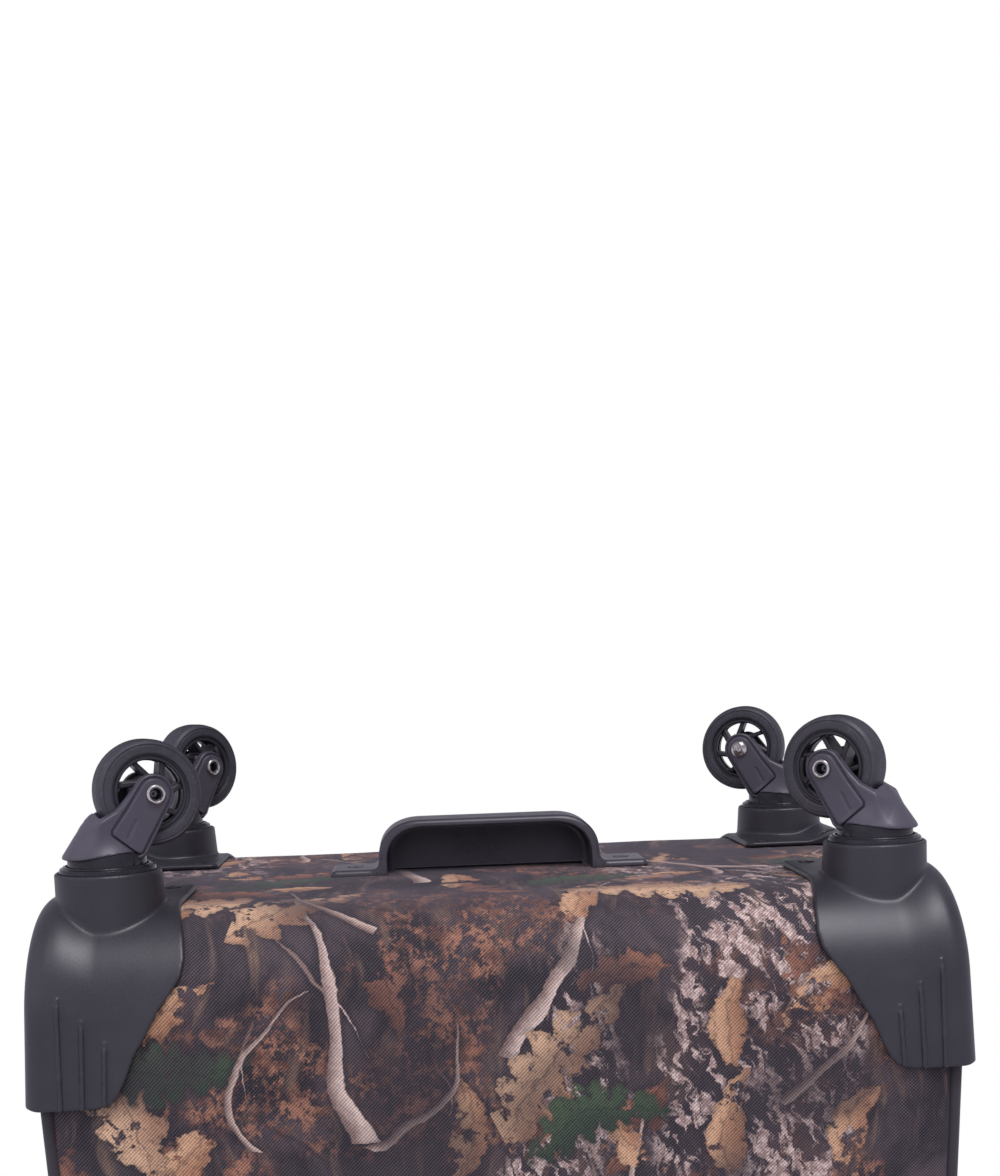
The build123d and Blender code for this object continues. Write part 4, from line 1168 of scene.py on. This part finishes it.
def teeth(yc, reach, g0, g1, z_low, phase, pitch=3.0):
    P, O = outline(yc, 0.0, z_low, 1.0)
    seg = np.concatenate([[0], np.cumsum(np.linalg.norm(np.diff(P, axis=0), axis=1))])
    q = np.arange(phase, seg[-1], pitch)
    C = np.stack([np.interp(q, seg, P[:, k]) for k in range(3)], 1)
    N = unit(np.stack([np.interp(q, seg, O[:, k]) for k in range(3)], 1))
    Y = np.array([0, 1.0, 0])
    T = np.cross(Y[None], N)
    V = []
    for s, k in ((-1, 0.5), (-0.6, 1.0), (0.6, 1.0), (1, 0.5)):
        for a, b in ((0.62, g0), (0.62, g0 + (g1 - g0) * 0.7), (0.0, g1), (-0.62, g0 + (g1 - g0) * 0.7), (-0.62, g0)):
            V.append(C + Y * (s * reach) + T * (a * k) + N * (g0 + (b - g0) * (0.6 + 0.4 * k)))
    V = np.stack(V, 1)
    f = [(0, 1, 2, 3, 4), (19, 18, 17, 16, 15)]
    for s in range(3):
        for j in range(5):
            j2 = (j + 1) % 5
            f.append((s * 5 + j, (s + 1) * 5 + j, (s + 1) * 5 + j2, s * 5 + j2))
    F = [tuple(i + 20 * n for i in q_) for n in range(len(C)) for q_ in f]
    return V.reshape(-1, 3), F

V, F = joined([strip(-96.2, -88.6, 0.45, 1.15, 181.0)])
make_object("zip_tape_case", V / 1000.0, F, "case", [M_TAPE], replaces=["main_zip_body"])
V, F = joined([strip(-107.2, -96.6, 0.45, 1.15, 184.0)])
make_object("zip_tape_lid", V / 1000.0, F, "lid", [M_TAPE], replaces=["main_zip_lid"])
V, F = teeth(-95.0, 1.7, 1.0, 2.0, 183.0, 0.0)
make_object("zip_coil_case", V / 1000.0, F, "case", [M_COIL])
V, F = teeth(-97.2, 1.7, 1.0, 2.0, 185.0, 1.5)
make_object("zip_coil_lid", V / 1000.0, F, "lid", [M_COIL])
def ring_stitch(y, g, z_low):
    P, O = outline(y, g, z_low, 3.0)
    return dashes(P, O)
V, F = joined([ring_stitch(-89.7, 1.15, 184.0)])
make_object("zip_stitch_case", V / 1000.0, F, "case", [M_THREAD])
V, F = joined([ring_stitch(-105.9, 1.15, 187.0)])
make_object("zip_stitch_lid", V / 1000.0, F, "lid", [M_THREAD])

#==FABRIC HINGE AT THE FOOT OF THE LID
hz = np.linspace(169.0, 187.0, 19)
hx = np.linspace(-206.0, 206.0, 70)
front = np.array([(x, -145.9 - 0.5 * math.cos((z - 178) / 12.0 * math.pi / 2) - 0.15 * math.sin(x * 0.11), z) for z in hz for x in hx])
back = front + np.array([0, 0.9, 0])
n1, n2 = len(hz), len(hx)
F = []
for i in range(n1 - 1):
    for j in range(n2 - 1):
        a = i * n2 + j
        F.append((a, a + 1, a + n2 + 1, a + n2))
        b = a + n1 * n2
        F.append((b, b + n2, b + n2 + 1, b + 1))
m0 = n1 * n2
for i in range(n1 - 1):
    a, b = i * n2, (i + 1) * n2
    F.append((a, b, b + m0, a + m0))
    a, b = i * n2 + n2 - 1, (i + 1) * n2 + n2 - 1
    F.append((a, a + m0, b + m0, b))
for j in range(n2 - 1):
    a, b = j, j + 1
    F.append((a, a + m0, b + m0, b))
    a, b = (n1 - 1) * n2 + j, (n1 - 1) * n2 + j + 1
    F.append((a, b, b + m0, a + m0))
me = bpy.data.meshes.new("lid_hinge_cloth")
V = np.concatenate([front, back]) / 1000.0
me.from_pydata([tuple(p) for p in V], [], F)
me.polygons.foreach_set("use_smooth", [True] * len(me.polygons))
me.materials.append(M_BIND)
hinge = bpy.data.objects.new("lid_hinge_cloth", me)
scene.collection.objects.link(hinge)
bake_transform(hinge)

#==POCKETS: CLOTH BLOWN UP FROM A ROUNDED PAD, HELD AT ITS SEAMS
def rrect(x, z, hx, hz_, r):
    qx, qz = np.abs(x) - hx + r, np.abs(z) - hz_ + r
    return np.hypot(np.maximum(qx, 0), np.maximum(qz, 0)) + np.minimum(np.maximum(qx, qz), 0) - r

def pocket(name, hx, z0, z1, y0, node, zip_z, zip_x, seed):
    zc, hz_ = (z0 + z1) / 2, (z1 - z0) / 2
    yc, hy = (y0 - 144.6) / 2, (-144.6 - y0) / 2
    f = lambda x, y, z: sd_round(rrect(x, z - zc, hx, hz_, 26.0), np.abs(y - yc) - hy, 8.5)
    P, Q = mesh_sdf(f, (-hx - 8, y0 - 6, z0 - 8), (hx + 8, -138, z1 + 8), 5.5)
    P0 = P.copy()
    me = bpy.data.meshes.new("sim_" + name)
    me.from_pydata([tuple(p) for p in P / 1000.0], [], [tuple(q) for q in Q])
    ob = bpy.data.objects.new("sim_" + name, me)
    scene.collection.objects.link(ob)
    vg = ob.vertex_groups.new(name="pin")
    held = np.where((P[:, 1] > y0 + 7.0) | (np.abs(P[:, 2] - zip_z) < 6.0) & (np.abs(P[:, 0]) < zip_x + 8))[0]
    vg.add([int(i) for i in held], 1.0, "REPLACE")
    cl = ob.modifiers.new("cloth", "CLOTH")
    cl.settings.quality = 5
    cl.settings.mass = 0.3
    cl.settings.vertex_group_mass = "pin"
    cl.settings.use_pressure = True
    cl.settings.uniform_pressure_force = 4.0
    cl.settings.shrink_min = -0.035
    cl.settings.tension_stiffness = 12
    cl.settings.bending_stiffness = 0.6
    cl.settings.effector_weights.gravity = 0.0
    cl.point_cache.frame_start = 1
    cl.point_cache.frame_end = 20
    for fr in range(1, 21):
        scene.frame_set(fr)
    dg = bpy.context.evaluated_depsgraph_get()
    ev = ob.evaluated_get(dg).to_mesh()
    co = np.zeros(len(ev.vertices) * 3, np.float32)
    ev.vertices.foreach_get("co", co)
    P = co.reshape(-1, 3).astype(float) * 1000.0
    bpy.data.objects.remove(ob)
    scene.frame_set(1)
    d = P - P0
    mag = np.linalg.norm(d, axis=1)
    cap = 4.6
    d *= (cap * np.tanh(mag / cap) / np.maximum(mag, 1e-9))[:, None]
    P = P0 + d
    # gathered seams: fine puckers running in from the edge
    edge = -rrect(P[:, 0], P[:, 2] - zc, hx, hz_, 26.0)
    fr_ = smooth01((y0 + 9.0 - P[:, 1]) / 6.0)
    calm = 1 - np.exp(-((P[:, 2] - zip_z) / 9.0) ** 2)
    nn = grid_noise(P, 1 / 14.0, seed)
    P[:, 1] += fr_ * calm * (np.exp(-((edge - 9) / 9.0) ** 2) * 0.8 * nn - 0.5 * grid_noise(P, 1 / 45.0, seed + 1))
    ob = make_object(name, P / 1000.0, Q, "lid", [M_CAMO2], replaces=[node])
    sub = ob.modifiers.new("smooth", "SUBSURF")
    sub.levels = sub.render_levels = 1
    def surf(x, z):
        k = np.argmin((P[:, 0] - x) ** 2 + (P[:, 2] - z) ** 2 + (P[:, 1] > yc) * 1e6)
        return P[k, 1]
    return surf

def rounded_path(hx, z0, z1, r, y):
    pts = []
    for cx, cz, a0 in ((hx - r, z1 - r, 0), (-hx + r, z1 - r, 90), (-hx + r, z0 + r, 180), (hx - r, z0 + r, 270)):
        for a in np.linspace(a0, a0 + 90, 12):
            pts.append((cx + r * math.cos(math.radians(a)), y, cz + r * math.sin(math.radians(a))))
    pts.append(pts[0])
    return np.array(pts)

for name, hx_, z0, z1, y0, node, zn, zz, zx, seed in (
        ("pocket_lower", 190.0, 198.0, 462.0, -166.0, "lower_pocket", "lower_pocket_zip", 442.0, 160.0, 31),
        ("pocket_upper", 168.0, 500.0, 690.0, -160.0, "upper_pocket", "upper_pocket_zip", 670.0, 138.0, 37)):
    surf = pocket(name, hx_, z0, z1, y0, node, zz, zx, seed)
    # binding welt where the pocket meets the lid
    W = resample(rounded_path(hx_ + 0.6, z0 - 0.6, z1 + 0.6, 26.6, -147.2), 3.0)
    c = np.array([0, 0, (z0 + z1) / 2])
    O = unit((W - c) * np.array([1, 0, 1]))
    V, F = sweep(W, O, np.tile(circle(1.9, 10), (len(W), 1, 1)))
    make_object(name + "_welt", V / 1000.0, F, "lid", [M_BIND])
    # zip tape, coil and stitching
    parts = []
    X = np.linspace(-zx, zx, 60)
    P = np.stack([X, np.full(60, y0), np.full(60, zz)], 1)
    O = np.tile([0, -1.0, 0], (60, 1))
    parts.append(sweep(P, O, np.tile(rect(-7.0, 7.0, -0.35, 0.55, 0.2), (60, 1, 1))))
    V, F = joined(parts)
    make_object(name + "_zip_tape", V / 1000.0, F, "lid", [M_TAPE], replaces=[zn])
    C = np.arange(-zx + 3, zx - 3, 1.5)
    tv, tf = [], []
    for i, x in enumerate(C):
        zo = zz + (0.8 if i % 2 else -0.8)
        b = len(tv)
        for dx, dy, dz in ((-0.55, -0.5, -1.5), (0.55, -0.5, -1.5), (0.55, -0.5, 1.5), (-0.55, -0.5, 1.5), (-0.3, -1.35, -1.1), (0.3, -1.35, -1.1), (0.3, -1.35, 1.1), (-0.3, -1.35, 1.1)):
            tv.append((x + dx, y0 + dy, zo + dz))
        tf += [(b, b + 4, b + 5, b + 1)[::-1], (b + 1, b + 5, b + 6, b + 2)[::-1], (b + 2, b + 6, b + 7, b + 3)[::-1], (b + 3, b + 7, b + 4, b)[::-1], (b + 4, b + 5, b + 6, b + 7), (b + 3, b + 2, b + 1, b)]
    make_object(name + "_zip_coil", np.array(tv) / 1000.0, tf, "lid", [M_COIL])
    sv = []
    for dz in (-6.2, 6.2):
        sv.append(dashes([(-zx + 1, y0 - 0.55, zz + dz), (zx - 1, y0 - 0.55, zz + dz)], (0, -1.0, 0)))
    for sx in (-1, 1):
        sv.append(dashes([(sx * (zx - 1.2), y0 - 0.55, zz - 6.0), (sx * (zx - 1.2), y0 - 0.55, zz + 6.0)], (0, -1.0, 0), 2.4, 1.8))
    V, F = joined(sv)
    make_object(name + "_stitching", V / 1000.0, F, "lid", [M_THREAD])

#==PADDED CARRY HANDLES
def superellipse(w, h, n=2.8, m=28):
    a = np.arange(m) * 2 * math.pi / m
    c, s = np.cos(a), np.sin(a)
    return np.stack([w * np.sign(c) * np.abs(c) ** (2 / n), h * np.sign(s) * np.abs(s) ** (2 / n)], 1)

def carry_handle(name, node, place):
    key = [(-105, 2.3), (-92, 2.4), (-84.5, 4.2), (-77.5, 11.0), (-69.0, 17.4), (-56, 20.0), (-30, 20.6), (0, 20.8), (30, 20.6), (56, 20.0), (69.0, 17.4), (77.5, 11.0), (84.5, 4.2), (92, 2.4), (105, 2.3)]
    C = spline([(x, z) for x, z in key], 14, closed=False)
    P = resample(np.stack([C[:, 0], np.zeros(len(C)), C[:, 1]], 1), 2.0)
    pad = smooth01((72.0 - np.abs(P[:, 0])) / 14.0)
    nn = grid_noise(P, 1 / 11.0, 51)
    hw = 14.6 + 2.0 * pad + 0.15 * nn
    ht = 1.5 + 3.1 * pad + 0.15 * nn * pad
    O = np.cross(np.tile([0, -1.0, 0], (len(P), 1)), tangents(P))
    O = np.where(O[:, 2:3] < 0, -O, O)
    prof = np.stack([superellipse(a, b, 2.6 + 2.0 * (1 - k)) for a, b, k in zip(hw, ht, pad)])
    V, F = sweep(P, O, prof)
    s1 = []
    mid = np.abs(P[:, 0]) < 66
    T = tangents(P)
    for sgn in (-1, 1):
        off = P[mid] + np.stack([np.zeros(mid.sum()), sgn * (hw[mid] - 4.0), np.zeros(mid.sum())], 1) + O[mid] * (ht[mid] * 0.90)[:, None]
        s1.append(dashes(off, O[mid] + np.array([0, sgn * 0.3, 0])))
    for e in (-1, 1):
        x0, x1, y = 88.5, 102.5, 12.0
        box = [(e * x0, -y, 3.85), (e * x1, -y, 3.85), (e * x1, y, 3.85), (e * x0, y, 3.85), (e * x0, -y, 3.85)]
        for a, b in zip(box[:-1], box[1:]):
            s1.append(dashes([a, b], (0, 0, 1.0), 2.8, 2.1))
        s1.append(dashes([box[0], box[2]], (0, 0, 1.0), 2.8, 2.1))
        s1.append(dashes([box[1], box[3]], (0, 0, 1.0), 2.8, 2.1))
    SV, SF = joined(s1)
    make_object(name, place(V) / 1000.0, F, "case", [M_WEB], replaces=[node])
    make_object(name + "_stitching", place(SV) / 1000.0, SF, "case", [M_THREAD])

carry_handle("handle_top_strap", "top_handle", lambda V: V + np.array([0, 42.0, 739.3]))
carry_handle("handle_side_strap", "side_handle", lambda V: np.stack([V[:, 2] + 218.6, V[:, 1] + 12.0, 410.0 - V[:, 0]], 1))

#==LINING
LP, LQ = mesh_sdf(lambda x, y, z: sd_round(sd_round(np.abs(y + 13.0) - 110.6, np.abs(z - 402.0) - 309.6, 16.0), np.abs(x) - 206.6, 18.0), (-212, -130, 86), (212, 104, 718), 9.0)
def relief_lining(P):
    return -0.9 + 0.9 * grid_noise(P * np.array([1, 1, 0.4]), 1 / 36.0, 61) + 0.4 * grid_noise(P, 1 / 18.0, 62)
lining_ob = cut_shell("lining_cloth", lambda x, y, z: y > -84, [((0, -84, 0), (0, 1, 0))], "case", M_LINING, ["lining"], False, wall=0.9, relief=relief_lining, source=(LP, LQ))
V, F = joined([strip(-92.6, -91.4, -11.6, -2.9, 181.0)])
make_object("lining_facing", V / 1000.0, F, "case", [M_LINING])
gx, gz = np.linspace(-204, 204, 60), np.linspace(185, 721, 78)
GX, GZ = np.meshgrid(gx, gz, indexing="ij")
pts = np.stack([GX.ravel(), np.zeros(GX.size), GZ.ravel()], 1)
keepr = np.clip(-rrect(pts[:, 0], pts[:, 2] - 453.0, 204.0, 268.0, 24.0), 0, 30)
yy = -130.6 + 0.9 * grid_noise(pts, 1 / 40.0, 63) * smooth01(keepr / 20.0) + 0.4 * grid_noise(pts, 1 / 19.0, 64)
A0 = np.stack([pts[:, 0], yy, pts[:, 2]], 1)
B0 = A0 - np.array([0, 0.8, 0])
na, nb = len(gx), len(gz)
F = []
for i in range(na - 1):
    for j in range(nb - 1):
        a = i * nb + j
        F.append((a, a + 1, a + nb + 1, a + nb))
        b = a + na * nb
        F.append((b, b + nb, b + nb + 1, b + 1))
def rim(idx, flip):
    for a, b in zip(idx[:-1], idx[1:]):
        q = (a, b, b + na * nb, a + na * nb)
        F.append(q if flip else q[::-1])
rim([j for j in range(nb)], False)
rim([(na - 1) * nb + j for j in range(nb)], True)
rim([i * nb for i in range(na)], True)
rim([i * nb + nb - 1 for i in range(na)], False)
make_object("lid_lining_cloth", np.concatenate([A0, B0]) / 1000.0, F, "lid", [M_LINING], replaces=["lid_lining"])

#==CAD NODES THAT STAY
HANDLE_Y = 112.0
def paint(node, mat):
    o = NODES[node]
    o.data.materials.clear()
    o.data.materials.append(mat)
M_TUBE = metal("tube_anodised", (0.50, 0.51, 0.53, 1), 0.30, (4, 4, 0.05))
M_WIRE = metal("wire_steel", (0.35, 0.35, 0.36, 1), 0.4)
M_BOARD = plastic("board_sheet", lin(90, 88, 90), 0.6)
M_ZIPM = metal("zip_slider_black", (0.09, 0.09, 0.10, 1), 0.32)
M_GRIP = plastic("grip_soft", lin(42, 42, 47), 0.5, 0.5)
rP_, rQ_ = mesh_sdf(grip_sdf, (-98, -16, -15), (98, 16, 15), 0.9)
make_object("pull_handle_grip", (rP_ + np.array([0, HANDLE_Y, 732.45])) / 1000.0, rQ_, "handle_top", [M_GRIP], replaces=["grip"])
for n in NODES:
    if n.endswith("_slider") or n.endswith("_pull"):
        paint(n, M_ZIPM)
    elif n.endswith("_tubes"):
        paint(n, M_TUBE)
    elif n.startswith("wire_") or n.endswith("_wire"):
        paint(n, M_WIRE)
    elif n == "frame_board":
        paint(n, M_BOARD)
    elif n in ("handle_cup", "release_button"):
        paint(n, M_GRIP)
    elif n in ("guard_screws", "bottom_handle_screws"):
        paint(n, M_SCREW)
    elif n == "swivel_pins":
        paint(n, M_NICKEL)
